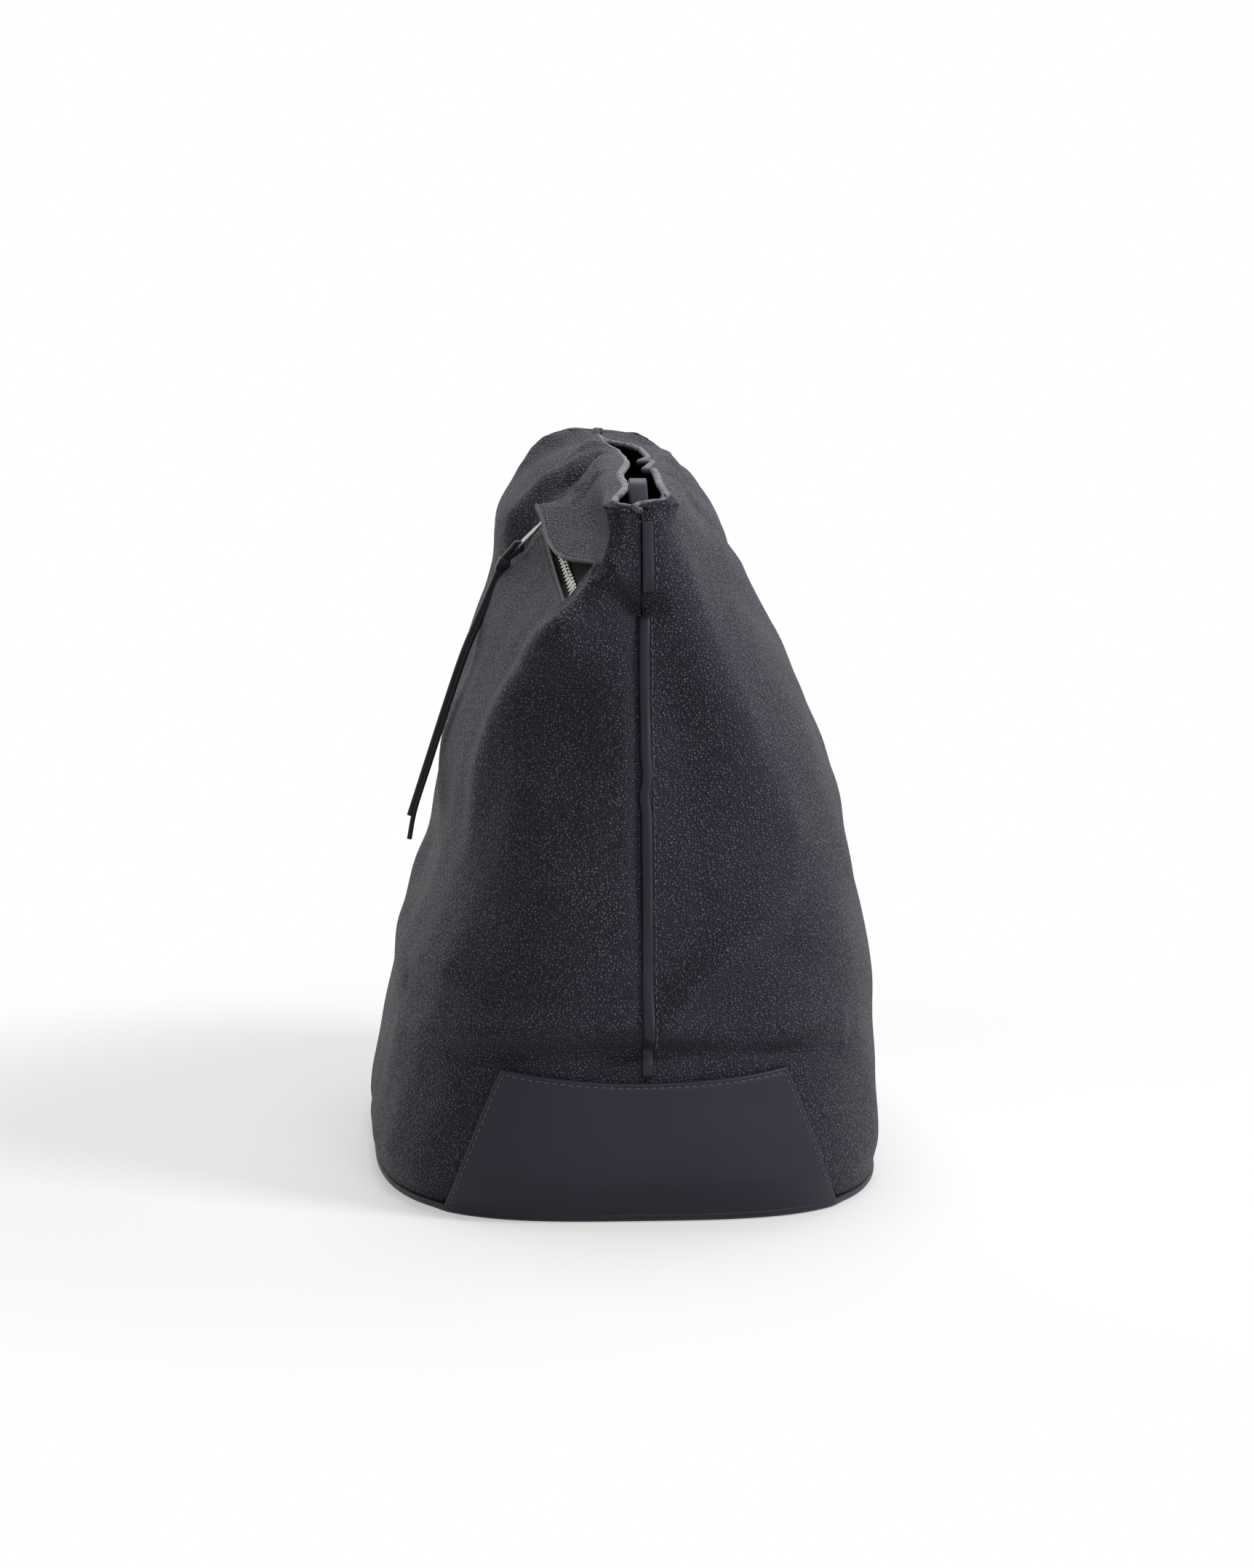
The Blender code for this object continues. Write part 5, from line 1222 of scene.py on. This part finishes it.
def strap_route():
    """Middle line of the strap: near anchor, fold at the mouth, floor, far anchor."""
    near = (STRAP_NEAR_HANG[-1][0] - STRAP_BEND_RADIUS, STRAP_BEND_LEVEL)
    far = (STRAP_FAR_HANG[0][0] + STRAP_BEND_RADIUS, STRAP_BEND_LEVEL)
    crest = arc_points(STRAP_FOLD, STRAP_FOLD_RADIUS, 0, 180, STRAP_FOLD_POINTS)
    near_bend = arc_points(near, STRAP_BEND_RADIUS, 0, -90, STRAP_BEND_POINTS)[1:]
    far_bend = arc_points(far, STRAP_BEND_RADIUS, -90, -180, STRAP_BEND_POINTS)[:-1]
    runs = [STRAP_NEAR_SEAT, crest, STRAP_NEAR_HANG, near_bend, far_bend, STRAP_FAR_HANG, STRAP_FAR_SEAT]
    line = [(x, 0 if run is crest else STRAP_DRIFT, z) for run in runs for x, z in run]
    return np.array(line) / MM


def chained(points, step):
    """The same straight runs with points added, so that a strip keeps to its route."""
    line = [points[0]]
    for a, b in zip(points[:-1], points[1:]):
        count = max(int(np.linalg.norm(b - a) / step), 1)
        line += [a + (b - a) * k / count for k in range(1, count + 1)]
    return np.array(line)


def make_strap(choices):
    """Shoulder strap dropped into the bag, with its two anchors."""
    sizes = choices.sizes
    line = chained(strap_route(), STRAP_STEP)
    for _ in range(STRAP_EASING):
        line[1:-1] = (line[:-2] + 2 * line[1:-1] + line[2:]) / 4
    section = rounded_section(sizes.strap_width, sizes.strap_thickness, STRIP_CORNER)
    rings = ribbon(line, np.tile((0.0, 1.0, 0.0), (len(line), 1)), section)
    add_piece("strap_leather", mesh_from("strap_leather", *tube(rings)), finish_of(choices, "strap"),
              "bag", ["shoulder_strap"])
    for name, node in (("near_anchor_leather", "near_strap_anchor"),
                       ("far_anchor_leather", "far_strap_anchor")):
        rounded_copy(name, node, finish_of(choices, "trim"), "bag", ANCHOR_EDGE)


# Zip and thong

# Section of a tape: distance from the middle of the chain and height of its upper face, with the edge of each
TAPE_SECTION = [(CHAIN_WIDTH / 2 + 0.0001, 0.0), (CHAIN_WIDTH / 2 + 0.0006, 0.0007),
                (CHAIN_WIDTH / 2 + 0.0012, 0.0003), (0.0045, 0.0003), (0.0075, 0.0003), (0.0105, 0.0003)]
TAPE_EDGE = {"upper": [(0.015, 0.0002), (0.020, 0.0), (0.025, -0.0004)], "lower": [(0.0128, 0.0003)]}
TAPE_UNDERSIDE = -0.0003
TAPE_HALF_LENGTH, TAPE_STEPS = 0.081, 110
TAPE_RIPPLE, RIPPLE_ALONG, RIPPLE_ACROSS = 0.0001, 700, 300
TOOTH_LENGTH, TOOTH_WIDTH = 0.0037, 0.0017
TOOTH_OFFSET, CHAIN_MARGIN = 0.00085, 0.001
STOP_EDGE, SLIDER_EDGE = 0.0004, 0.00022


def row_tree(name, finish, sockets, copy_of):
    """Geometry Nodes tree that sets copies along lines; copy_of gives the copy and the way that it lies."""
    tree = bpy.data.node_groups.new(name, "GeometryNodeTree")
    for label, kind in [("Geometry", "Geometry"), ("Pitch", "Float")] + sockets:
        tree.interface.new_socket(label, in_out="INPUT", socket_type="NodeSocket" + kind)
    tree.interface.new_socket("Geometry", in_out="OUTPUT", socket_type="NodeSocketGeometry")
    given = add_node(tree, "NodeGroupInput").outputs
    curve = add_node(tree, "GeometryNodeMeshToCurve", {"Mesh": given["Geometry"]}).outputs[0]
    spaced = add_node(tree, "GeometryNodeResampleCurve", {"Curve": curve, "Length": given["Pitch"]},
                      mode="LENGTH").outputs[0]
    placed = add_node(tree, "GeometryNodeInstanceOnPoints", {"Points": spaced, **copy_of(tree, given)})
    whole = add_node(tree, "GeometryNodeRealizeInstances", {0: placed.outputs[0]}).outputs[0]
    done = add_node(tree, "GeometryNodeSetMaterial", {"Geometry": whole, "Material": finish}).outputs[0]
    add_node(tree, "NodeGroupOutput", {0: done})
    return tree


def zip_tooth(tree, given):
    """Rounded metal tooth that lies across the zip."""
    block = add_node(tree, "GeometryNodeMeshCube", {
        "Size": given["Tooth size"], "Vertices X": 3, "Vertices Y": 2})
    tooth = add_node(tree, "GeometryNodeSubdivisionSurface", {
        "Mesh": block.outputs[0], "Level": 1, "Edge Crease": 0.55})
    turn = add_node(tree, "FunctionNodeAxesToRotation", {0: given["Outward"], 1: given["Direction"]},
                    primary_axis="Z", secondary_axis="X")
    return {"Instance": tooth.outputs[0], "Rotation": turn.outputs[0]}


def stitch(tree, given):
    """Bead of thread that lies along its line, on lines that carry an outward direction."""
    size = add_node(tree, "ShaderNodeCombineXYZ", {
        0: given["Stitch length"], 1: given["Thread width"], 2: given["Thread width"]})
    bead = add_node(tree, "GeometryNodeMeshUVSphere", {"Segments": 8, "Rings": 6, "Radius": 0.5})
    out = add_node(tree, "GeometryNodeInputNamedAttribute", {"Name": "outward"}, data_type="FLOAT_VECTOR")
    tangent = add_node(tree, "GeometryNodeInputTangent")
    turn = add_node(tree, "FunctionNodeAxesToRotation", {0: out.outputs[0], 1: tangent.outputs[0]},
                    primary_axis="Z", secondary_axis="X")
    return {"Instance": bead.outputs[0], "Rotation": turn.outputs[0], "Scale": size.outputs[0]}


def grown(name, mesh, tree, values):
    """Plain mesh of what a tree makes from a mesh; the carrier object is removed again."""
    carrier = bpy.data.objects.new(name + "_carrier", mesh)
    bpy.context.scene.collection.objects.link(carrier)
    modifier = carrier.modifiers.new("nodes", "NODES")
    modifier.node_group = tree
    for item in tree.interface.items_tree:
        if item.in_out == "INPUT" and item.name in values:
            modifier[item.identifier] = values[item.name]
    graph = bpy.context.evaluated_depsgraph_get()
    made = bpy.data.meshes.new_from_object(carrier.evaluated_get(graph))
    made.name = name
    bpy.data.objects.remove(carrier, do_unlink=True)
    bpy.data.meshes.remove(mesh)
    return made


def line_mesh(name, lines):
    """Mesh of open lines; each is a pair of points and outward directions."""
    mesh = bpy.data.meshes.new(name)
    points, edges, outward = [], [], []
    for line, normals in lines:
        edges += [(len(points) + k, len(points) + k + 1) for k in range(len(line) - 1)]
        points += [tuple(point) for point in line]
        outward += [tuple(normal) for normal in normals]
    mesh.from_pydata(points, edges, [])
    layer = mesh.attributes.new("outward", "FLOAT_VECTOR", "POINT")
    layer.data.foreach_set("vector", np.array(outward, np.float32).ravel())
    return mesh


def tape_mesh(name, side):
    """Mesh of one tape, with a slight ripple."""
    upper = TAPE_SECTION + TAPE_EDGE[name]
    section = upper + [(v, TAPE_UNDERSIDE) for v, _ in reversed(upper)]
    rings = []
    for u in np.linspace(-TAPE_HALF_LENGTH, TAPE_HALF_LENGTH, TAPE_STEPS):
        ring = []
        for v, rise in section:
            ripple = TAPE_RIPPLE * math.sin(u * RIPPLE_ALONG + v * RIPPLE_ACROSS)
            ring.append(zip_point(u, side * v, TAPE_LEVEL + rise + ripple))
        rings.append(ring)
    return mesh_from("zip_tape_" + name, *tube(rings))


def make_zip(choices):
    """Tapes, teeth, stops, slider and puller of the pocket zip.

    The teeth stand at twice the pitch of the CAD teeth, so that single teeth show in the render.
    """
    nickel = finish_of(choices, "nickel")
    tree = row_tree("zip_teeth", nickel,
                    [("Tooth size", "Vector"), ("Direction", "Vector"), ("Outward", "Vector")], zip_tooth)
    for name, side, shift in (("upper", 1, TOOTH_PITCH), ("lower", -1, 0.0)):
        add_piece(name + "_tape_cloth", tape_mesh(name, side), finish_of(choices, "tape"),
                  "bag", ["zip_tape_" + name])
        places = (CHAIN_ENDS[0] + shift + CHAIN_MARGIN, CHAIN_ENDS[1] - CHAIN_MARGIN)
        ends = [zip_point(u, side * TOOTH_OFFSET, TAPE_LEVEL) for u in places]
        mesh = grown(name + "_teeth_row", line_mesh("teeth_line", [(ends, [ZIP_OUT] * 2)]), tree, {
            "Pitch": 2 * TOOTH_PITCH, "Tooth size": (TOOTH_WIDTH, TOOTH_LENGTH, CHAIN_THICKNESS),
            "Direction": tuple(ZIP_ALONG), "Outward": tuple(ZIP_OUT)})
        add_piece(name + "_teeth_row", mesh, nickel, "bag", ["zip_teeth_" + name])
    for name, node, body, edge in (("bottom_stop_metal", "zip_bottom_stop", "bag", STOP_EDGE),
                                   ("upper_top_stop_metal", "zip_top_stop_upper", "bag", STOP_EDGE),
                                   ("lower_top_stop_metal", "zip_top_stop_lower", "bag", STOP_EDGE),
                                   ("slider_metal", "zip_slider", "slider", SLIDER_EDGE),
                                   ("puller_metal", "zip_puller", "puller", SLIDER_EDGE)):
        rounded_copy(name, node, nickel, body, edge)


# Hanging line of the thong below the puller's eye, outwards and down, as in the part's source
THONG_HANG = [(0.0056, 0.0052), (0.0100, 0.0150), (0.0165, 0.0300), (0.0255, 0.0500),
              (0.0345, 0.0760), (0.0430, 0.1020), (0.0505, 0.1250)]
THONG_LONG_TAIL = (0.0535, 0.1400)
THONG_SHORT_TAIL = (0.0518, 0.1290)
THONG_PIVOT = np.array(JOINTS["thong_swing"]["pos_m"])
THONG_CAD_THICKNESS, THONG_LEG_GAP = 0.0013, 0.0004
THONG_TWIST = (12, 45)
EYE_BAR, PULLER_THICKNESS = 0.0014, 0.0012
LOOP_START, LOOP_TURN, LOOP_STEPS = math.radians(50), math.radians(260), 8
LOOP_POINTS, LEG_POINTS = 60, 90
KEEPER_EDGE = 0.0005


def thong_lines():
    """Loop through the eye, long leg and short leg as outward and downward runs, to 0.01 mm."""
    radius = math.hypot(EYE_BAR / 2, PULLER_THICKNESS / 2) + CLEARANCE + THONG_CAD_THICKNESS / 2
    lead = math.atan2(THONG_HANG[0][1], THONG_HANG[0][0])
    angles = lead + LOOP_START + LOOP_TURN * np.arange(LOOP_STEPS + 1) / LOOP_STEPS
    loop = radius * np.stack([np.cos(angles), np.sin(angles)], axis=1)
    legs = []
    for side, tail in ((1, THONG_LONG_TAIL), (-1, THONG_SHORT_TAIL)):
        line = np.array(THONG_HANG + [tail])
        padded = np.concatenate([line[:1], line, line[-1:]])
        heading = unit(padded[2:] - padded[:-2])
        across = np.stack([-heading[:, 1], heading[:, 0]], axis=1)
        legs.append(line + across * side * (THONG_CAD_THICKNESS + THONG_LEG_GAP) / 2)
    loop = np.concatenate([legs[0][:1], loop, legs[1][:1]])
    return [np.round(run * MM, 2) for run in (loop, *legs)]


def thong_line(runs, count):
    """Points and width directions of a thong line: square to the zip at the eye, upright below."""
    line, sides = [], []
    for out_run, drop in runs:
        turn = float(smooth(drop, *THONG_TWIST))
        side = ZIP_ALONG * (1 - turn) + np.array((1.0, 0.0, 0.0)) * turn
        side /= np.linalg.norm(side)
        down = np.array((0.0, 0.0, -1.0))
        down = down - side * (down @ side)
        down /= np.linalg.norm(down)
        line.append(THONG_PIVOT + (np.cross(down, side) * out_run + down * drop) / MM)
        sides.append(side)
    return spline(line, count), spline(sides, count)


def make_thong(choices):
    """Doubled leather thong on the puller, with its keeper band."""
    sizes = choices.sizes
    finish = finish_of(choices, "thong")
    section = rounded_section(sizes.thong_width, sizes.thong_thickness, STRIP_CORNER)
    loop, long_leg, short_leg = thong_lines()
    rings = ribbon(*thong_line(loop, LOOP_POINTS), section)
    add_piece("thong_loop", mesh_from("thong_loop", *tube(rings)), finish,
              "thong", ["pull_thong"])
    for name, runs in (("thong_long_leg", long_leg), ("thong_short_leg", short_leg)):
        line, sides = thong_line(runs, LEG_POINTS)
        mesh = mesh_from(name, *tube(ribbon(line, sides, section)))
        piece = add_piece(name, mesh, finish, "thong")
    rounded_copy("keeper_band", "thong_keeper", finish, "thong", KEEPER_EDGE)


# Stitches: how deep they sit in a tab, how high on the leather, and their distance from the middle of a welt

TAB_STITCH_SINK, STITCH_RISE = 0.00015, 0.0001
TAB_STITCH_FOOT, TAB_STITCH_SLANT = 0.04, 1.07
TAB_SIDE_POINTS, TAB_TOP_POINTS = 50, 90
WINDOW_STITCH_OUTSET, WINDOW_STITCH_POINTS = 0.0022, 500
WELT_STITCH_POINTS = 120
WELT_STITCHES = [(False, 0.20, 0.73, LOWER_WELT_SHIFT + 0.0035),
                 (False, 0.775, 0.92, UPPER_WELT_SHIFT + 0.0033), (True, 0.20, 0.94, 0.0035)]


def tab_stitches(far):
    """Line of stitches along the edges of a tab, with its outward directions."""
    top = 1 - STITCH_INSET / TAB_HEIGHT
    climb = np.linspace(TAB_STITCH_FOOT, top, TAB_SIDE_POINTS)
    middle = np.linspace(-1, 1, TAB_TOP_POINTS)[1:-1]
    t = np.concatenate([climb, np.full(len(middle), top), climb[::-1]])
    across = np.concatenate([np.full(len(climb), -1.0), middle, np.full(len(climb), 1.0)])
    points, normals = tab_place(t, across * (tab_half(t) - STITCH_INSET * TAB_STITCH_SLANT), far)
    return points + normals * (TAB_OUTSET - TAB_STITCH_SINK), normals


def make_stitches(choices):
    """Thread along the tabs, the welts and the zip."""
    sizes = choices.sizes
    lines = [tab_stitches(far) for far in (False, True)]
    for far, low, high, shift in WELT_STITCHES:
        heights = np.linspace(low, high, WELT_STITCH_POINTS)
        stations = shift / length_at(heights, np.full(WELT_STITCH_POINTS, shift))
        points, normals = leather(heights, 1 - stations if far else stations)
        lines.append((points + normals * STITCH_RISE, normals))
    lip = window_line(WINDOW_STITCH_POINTS, WINDOW_STITCH_OUTSET)
    lines.append((lip + ZIP_OUT * STITCH_RISE, [ZIP_OUT] * len(lip)))
    thread = finish_of(choices, "thread")
    tree = row_tree("stitches", thread, [("Stitch length", "Float"), ("Thread width", "Float")], stitch)
    mesh = grown("stitches", line_mesh("stitch_lines", lines), tree, {
        "Pitch": sizes.stitch_pitch, "Stitch length": sizes.stitch_length, "Thread width": sizes.thread})
    add_piece("stitches", mesh, thread, "bag")


# Studio

CAMERA_TURN, CAMERA_RISE = math.radians(86.3), math.radians(6.5)
CAMERA_DISTANCE, CAMERA_LENS, CAMERA_SENSOR = 1.9, 90.0, 36.0
CAMERA_AIM = (0.0, 0.00456366, 0.17260837)
WHITE = linear("#ffffff")
ROOM_LIGHT = 0.03
FLOOR_SHADE, FLOOR_GLOW = linear("#bfbfbf"), 0.47
FLOOR_FADE = (0.26, 0.55)
FLOOR_HALF, FLOOR_LEVEL = 30.0, -0.0002
# Name, place, aim, size and watts of each lamp; together they light a white surface to about 1
LAMPS = [("overhead softbox", (-0.3, 0.05, 1.6), (0.0, 0.0, 0.15), 0.9, 16.5),
         ("right softbox", (0.9, 1.4, 1.4), (0.0, 0.0, 0.2), 0.6, 25.0),
         ("front fill", (2.2, 0.6, 1.0), (0.0, 0.0, 0.1), 0.8, 7.0)]


def add_to_stage(name, data, place, back):
    """Camera or lamp at a place, looking against the direction given."""
    thing = bpy.data.objects.new(name, data)
    thing.location = place
    thing.rotation_euler = back.to_track_quat("Z", "Y").to_euler()
    bpy.context.scene.collection.objects.link(thing)
    return thing


def looked_at(tree):
    """1 for what the camera sees, also in mirrors and through glass, and 0 for light that falls on things."""
    path = add_node(tree, "ShaderNodeLightPath").outputs
    seen = add_node(tree, "ShaderNodeMath", {0: path["Is Camera Ray"], 1: path["Is Glossy Ray"]},
                    operation="MAXIMUM").outputs[0]
    return add_node(tree, "ShaderNodeMath", {0: seen, 1: path["Is Transmission Ray"]},
                    operation="MAXIMUM").outputs[0]


def make_world():
    """White surroundings that the camera sees and that give almost no light."""
    world = bpy.data.worlds.new("studio")
    bpy.context.scene.world = world
    world.use_nodes = True
    tree = world.node_tree
    tree.nodes.clear()
    dim = add_node(tree, "ShaderNodeBackground", {"Color": WHITE, "Strength": ROOM_LIGHT}).outputs[0]
    white = add_node(tree, "ShaderNodeBackground", {"Color": WHITE, "Strength": 1.0}).outputs[0]
    mixed = add_node(tree, "ShaderNodeMixShader", {0: looked_at(tree), 1: dim, 2: white})
    add_node(tree, "ShaderNodeOutputWorld", {"Surface": mixed.outputs[0]})


def paper_floor(choices):
    """White paper: it keeps the shadow near the bag and fades to the white of the surroundings."""
    paper = bpy.data.materials.new("white_paper_floor")
    paper.use_nodes = True
    tree = paper.node_tree
    tree.nodes.clear()
    matt = add_node(tree, "ShaderNodeBsdfDiffuse", {"Color": choices.colours.floor}).outputs[0]
    shaded = add_node(tree, "ShaderNodeBsdfDiffuse", {"Color": FLOOR_SHADE}).outputs[0]
    glow = add_node(tree, "ShaderNodeEmission", {"Color": WHITE, "Strength": FLOOR_GLOW}).outputs[0]
    bright = add_node(tree, "ShaderNodeAddShader", {0: shaded, 1: glow}).outputs[0]
    place = add_node(tree, "ShaderNodeTexCoord").outputs["Object"]
    away = add_node(tree, "ShaderNodeVectorMath", {0: place}, operation="LENGTH").outputs["Value"]
    away = add_node(tree, "ShaderNodeMapRange", {
        "Value": away, "From Min": FLOOR_FADE[0], "From Max": FLOOR_FADE[1]},
        interpolation_type="SMOOTHSTEP").outputs[0]
    white = add_node(tree, "ShaderNodeEmission", {"Color": WHITE, "Strength": 1.0}).outputs[0]
    bright = add_node(tree, "ShaderNodeMixShader", {0: away, 1: bright, 2: white}).outputs[0]
    mixed = add_node(tree, "ShaderNodeMixShader", {0: looked_at(tree), 1: matt, 2: bright})
    add_node(tree, "ShaderNodeOutputMaterial", {"Surface": mixed.outputs[0]})
    return paper


def make_stage(choices):
    """Camera at the photograph's angle, a white floor and soft light."""
    scene = bpy.context.scene
    scene.view_settings.view_transform = "Standard"
    back = Vector((math.sin(CAMERA_TURN) * math.cos(CAMERA_RISE),
                   -math.cos(CAMERA_TURN) * math.cos(CAMERA_RISE), math.sin(CAMERA_RISE)))
    lens = bpy.data.cameras.new("camera")
    lens.lens = CAMERA_LENS
    lens.sensor_width = CAMERA_SENSOR
    lens.clip_start = 0.05
    scene.camera = add_to_stage("camera", lens, Vector(CAMERA_AIM) + back * CAMERA_DISTANCE, back)
    make_world()
    mesh = bpy.data.meshes.new("floor")
    corners = [(-FLOOR_HALF, -FLOOR_HALF, 0), (FLOOR_HALF, -FLOOR_HALF, 0),
               (FLOOR_HALF, FLOOR_HALF, 0), (-FLOOR_HALF, FLOOR_HALF, 0)]
    mesh.from_pydata(corners, [], [(0, 1, 2, 3)])
    mesh.materials.append(paper_floor(choices))
    floor = bpy.data.objects.new("floor", mesh)
    floor.location.z = FLOOR_LEVEL
    scene.collection.objects.link(floor)
    for name, place, aim, size, power in LAMPS:
        light = bpy.data.lights.new(name, "AREA")
        light.shape = "SQUARE"
        light.size = size
        light.energy = power
        add_to_stage(name, light, place, Vector(place) - Vector(aim))


# Add-on

class HoboSizes(bpy.types.PropertyGroup):
    """Sizes of leather, trim and thread."""

    leather: size_choice("Leather", "Thickness of the body leather", 0.0018)
    grain: size_choice("Grain", "Width of one pebble of the grain", 0.0013)
    rim_radius: size_choice("Rim radius", "Radius of the turned edge round the mouth", 0.0020)
    welt_width: size_choice("Welt width", "Width of the strips over the end seams", 0.0055)
    welt_thickness: size_choice("Welt thickness", "Height of the strips over the end seams", 0.0014)
    strap_width: size_choice("Strap width", "Width of the shoulder strap", 0.0078)
    strap_thickness: size_choice("Strap thickness", "Thickness of the shoulder strap", 0.0024)
    thong_width: size_choice("Thong width", "Width of the puller's thong", 0.0033)
    thong_thickness: size_choice("Thong thickness", "Thickness of one leg of the thong", 0.0023)
    stitch_pitch: size_choice("Stitch pitch", "Distance from stitch to stitch", 0.0036)
    stitch_length: size_choice("Stitch length", "Length of one stitch", 0.0027)
    thread: size_choice("Thread", "Width of the sewing thread", 0.0007)


class HoboColours(bpy.types.PropertyGroup):
    """Colours of the materials."""

    pebbled: colour_choice("Body", "Pebbled calf of the body", "#3d3c47")
    smooth: colour_choice("Base", "Smooth calf of the base and the welts", "#282632")
    strap: colour_choice("Strap", "Smooth calf of the strap", "#3a3a43")
    thong: colour_choice("Thong", "Smooth calf of the thong and the lip of the zip", "#202024")
    # Pale grey: partly the turned edge's own lighter colour, partly a painted highlight; on the base it is
    # the colour of real scuffs.
    edge: colour_choice("Edge", "Turned edge round the mouth, and scuffs on the base", "#74727b")
    lining: colour_choice("Lining", "Cotton of the lining", "#38383e")
    tape: colour_choice("Tape", "Cloth tape of the zip", "#1a1a1c")
    nickel: colour_choice("Nickel", "Plated metal of the zip", "#b3b0aa")
    thread: colour_choice("Thread", "Sewing thread", "#4c4b57")
    board: colour_choice("Board", "Stiff board in the base", "#6f6c68")
    floor: colour_choice("Floor", "Paper floor", "#e6e6e6")


class HoboChoices(bpy.types.PropertyGroup):
    """Everything that a user may change."""

    sizes: PointerProperty(type=HoboSizes)
    colours: PointerProperty(type=HoboColours)


class HOBO_OT_stage(bpy.types.Operator):
    """Set up the camera, the floor and the light"""

    bl_idname = "hobo.stage"
    bl_label = "Studio"

    def execute(self, context):
        make_stage(context.scene.hobo)
        return {"FINISHED"}


class HOBO_OT_body(bpy.types.Operator):
    """Make the pebbled front and back of the bag"""

    bl_idname = "hobo.body"
    bl_label = "Leather body"

    def execute(self, context):
        make_body(context.scene.hobo)
        return {"FINISHED"}


class HOBO_OT_base(bpy.types.Operator):
    """Make the smooth base with its end tabs"""

    bl_idname = "hobo.base"
    bl_label = "Base and tabs"

    def execute(self, context):
        make_base(context.scene.hobo)
        return {"FINISHED"}


class HOBO_OT_rim(bpy.types.Operator):
    """Make the turned edge round the mouth"""

    bl_idname = "hobo.rim"
    bl_label = "Mouth edge"

    def execute(self, context):
        make_mouth_rim(context.scene.hobo)
        return {"FINISHED"}


class HOBO_OT_welts(bpy.types.Operator):
    """Make the strips over the end seams"""

    bl_idname = "hobo.welts"
    bl_label = "End welts"

    def execute(self, context):
        make_welts(context.scene.hobo)
        return {"FINISHED"}


class HOBO_OT_lining(bpy.types.Operator):
    """Make the lining, the pocket pouch and the board's finish"""

    bl_idname = "hobo.lining"
    bl_label = "Lining and pocket"

    def execute(self, context):
        make_lining(context.scene.hobo)
        return {"FINISHED"}


class HOBO_OT_strap(bpy.types.Operator):
    """Make the shoulder strap and its anchors"""

    bl_idname = "hobo.strap"
    bl_label = "Shoulder strap"

    def execute(self, context):
        make_strap(context.scene.hobo)
        return {"FINISHED"}


class HOBO_OT_zip(bpy.types.Operator):
    """Make the tapes, teeth, stops, slider and puller"""

    bl_idname = "hobo.zip"
    bl_label = "Pocket zip"

    def execute(self, context):
        make_zip(context.scene.hobo)
        return {"FINISHED"}


class HOBO_OT_thong(bpy.types.Operator):
    """Make the thong and its keeper"""

    bl_idname = "hobo.thong"
    bl_label = "Pull thong"

    def execute(self, context):
        make_thong(context.scene.hobo)
        return {"FINISHED"}


class HOBO_OT_stitches(bpy.types.Operator):
    """Sew the tabs, the welts and the zip"""

    bl_idname = "hobo.stitches"
    bl_label = "Stitches"

    def execute(self, context):
        make_stitches(context.scene.hobo)
        return {"FINISHED"}


STEPS = ("stage", "thong", "body", "base", "rim", "welts", "lining", "strap", "zip", "stitches")


class HOBO_PT_steps(bpy.types.Panel):
    """Steps that dress the bag"""

    bl_label = "Hobo bag"
    bl_idname = "HOBO_PT_steps"
    bl_space_type = "VIEW_3D"
    bl_region_type = "UI"
    bl_category = "Hobo bag"

    def draw(self, context):
        for step in STEPS:
            self.layout.operator("hobo." + step)
        for group in (context.scene.hobo.sizes, context.scene.hobo.colours):
            box = self.layout.box()
            for label in group.__annotations__:
                box.prop(group, label)


CLASSES = (HoboSizes, HoboColours, HoboChoices, HOBO_OT_stage, HOBO_OT_body, HOBO_OT_base, HOBO_OT_rim,
           HOBO_OT_welts, HOBO_OT_lining, HOBO_OT_strap, HOBO_OT_zip, HOBO_OT_thong, HOBO_OT_stitches,
           HOBO_PT_steps)


def register():
    """Add the classes and the choices to Blender."""
    for item in CLASSES:
        bpy.utils.register_class(item)
    bpy.types.Scene.hobo = PointerProperty(type=HoboChoices)


def unregister():
    """Take them out again."""
    del bpy.types.Scene.hobo
    for item in reversed(CLASSES):
        bpy.utils.unregister_class(item)


def main():
    """Dress the bag."""
    register()
    for step in STEPS:
        getattr(bpy.ops.hobo, step)()


if __name__ == "__main__":
    main()
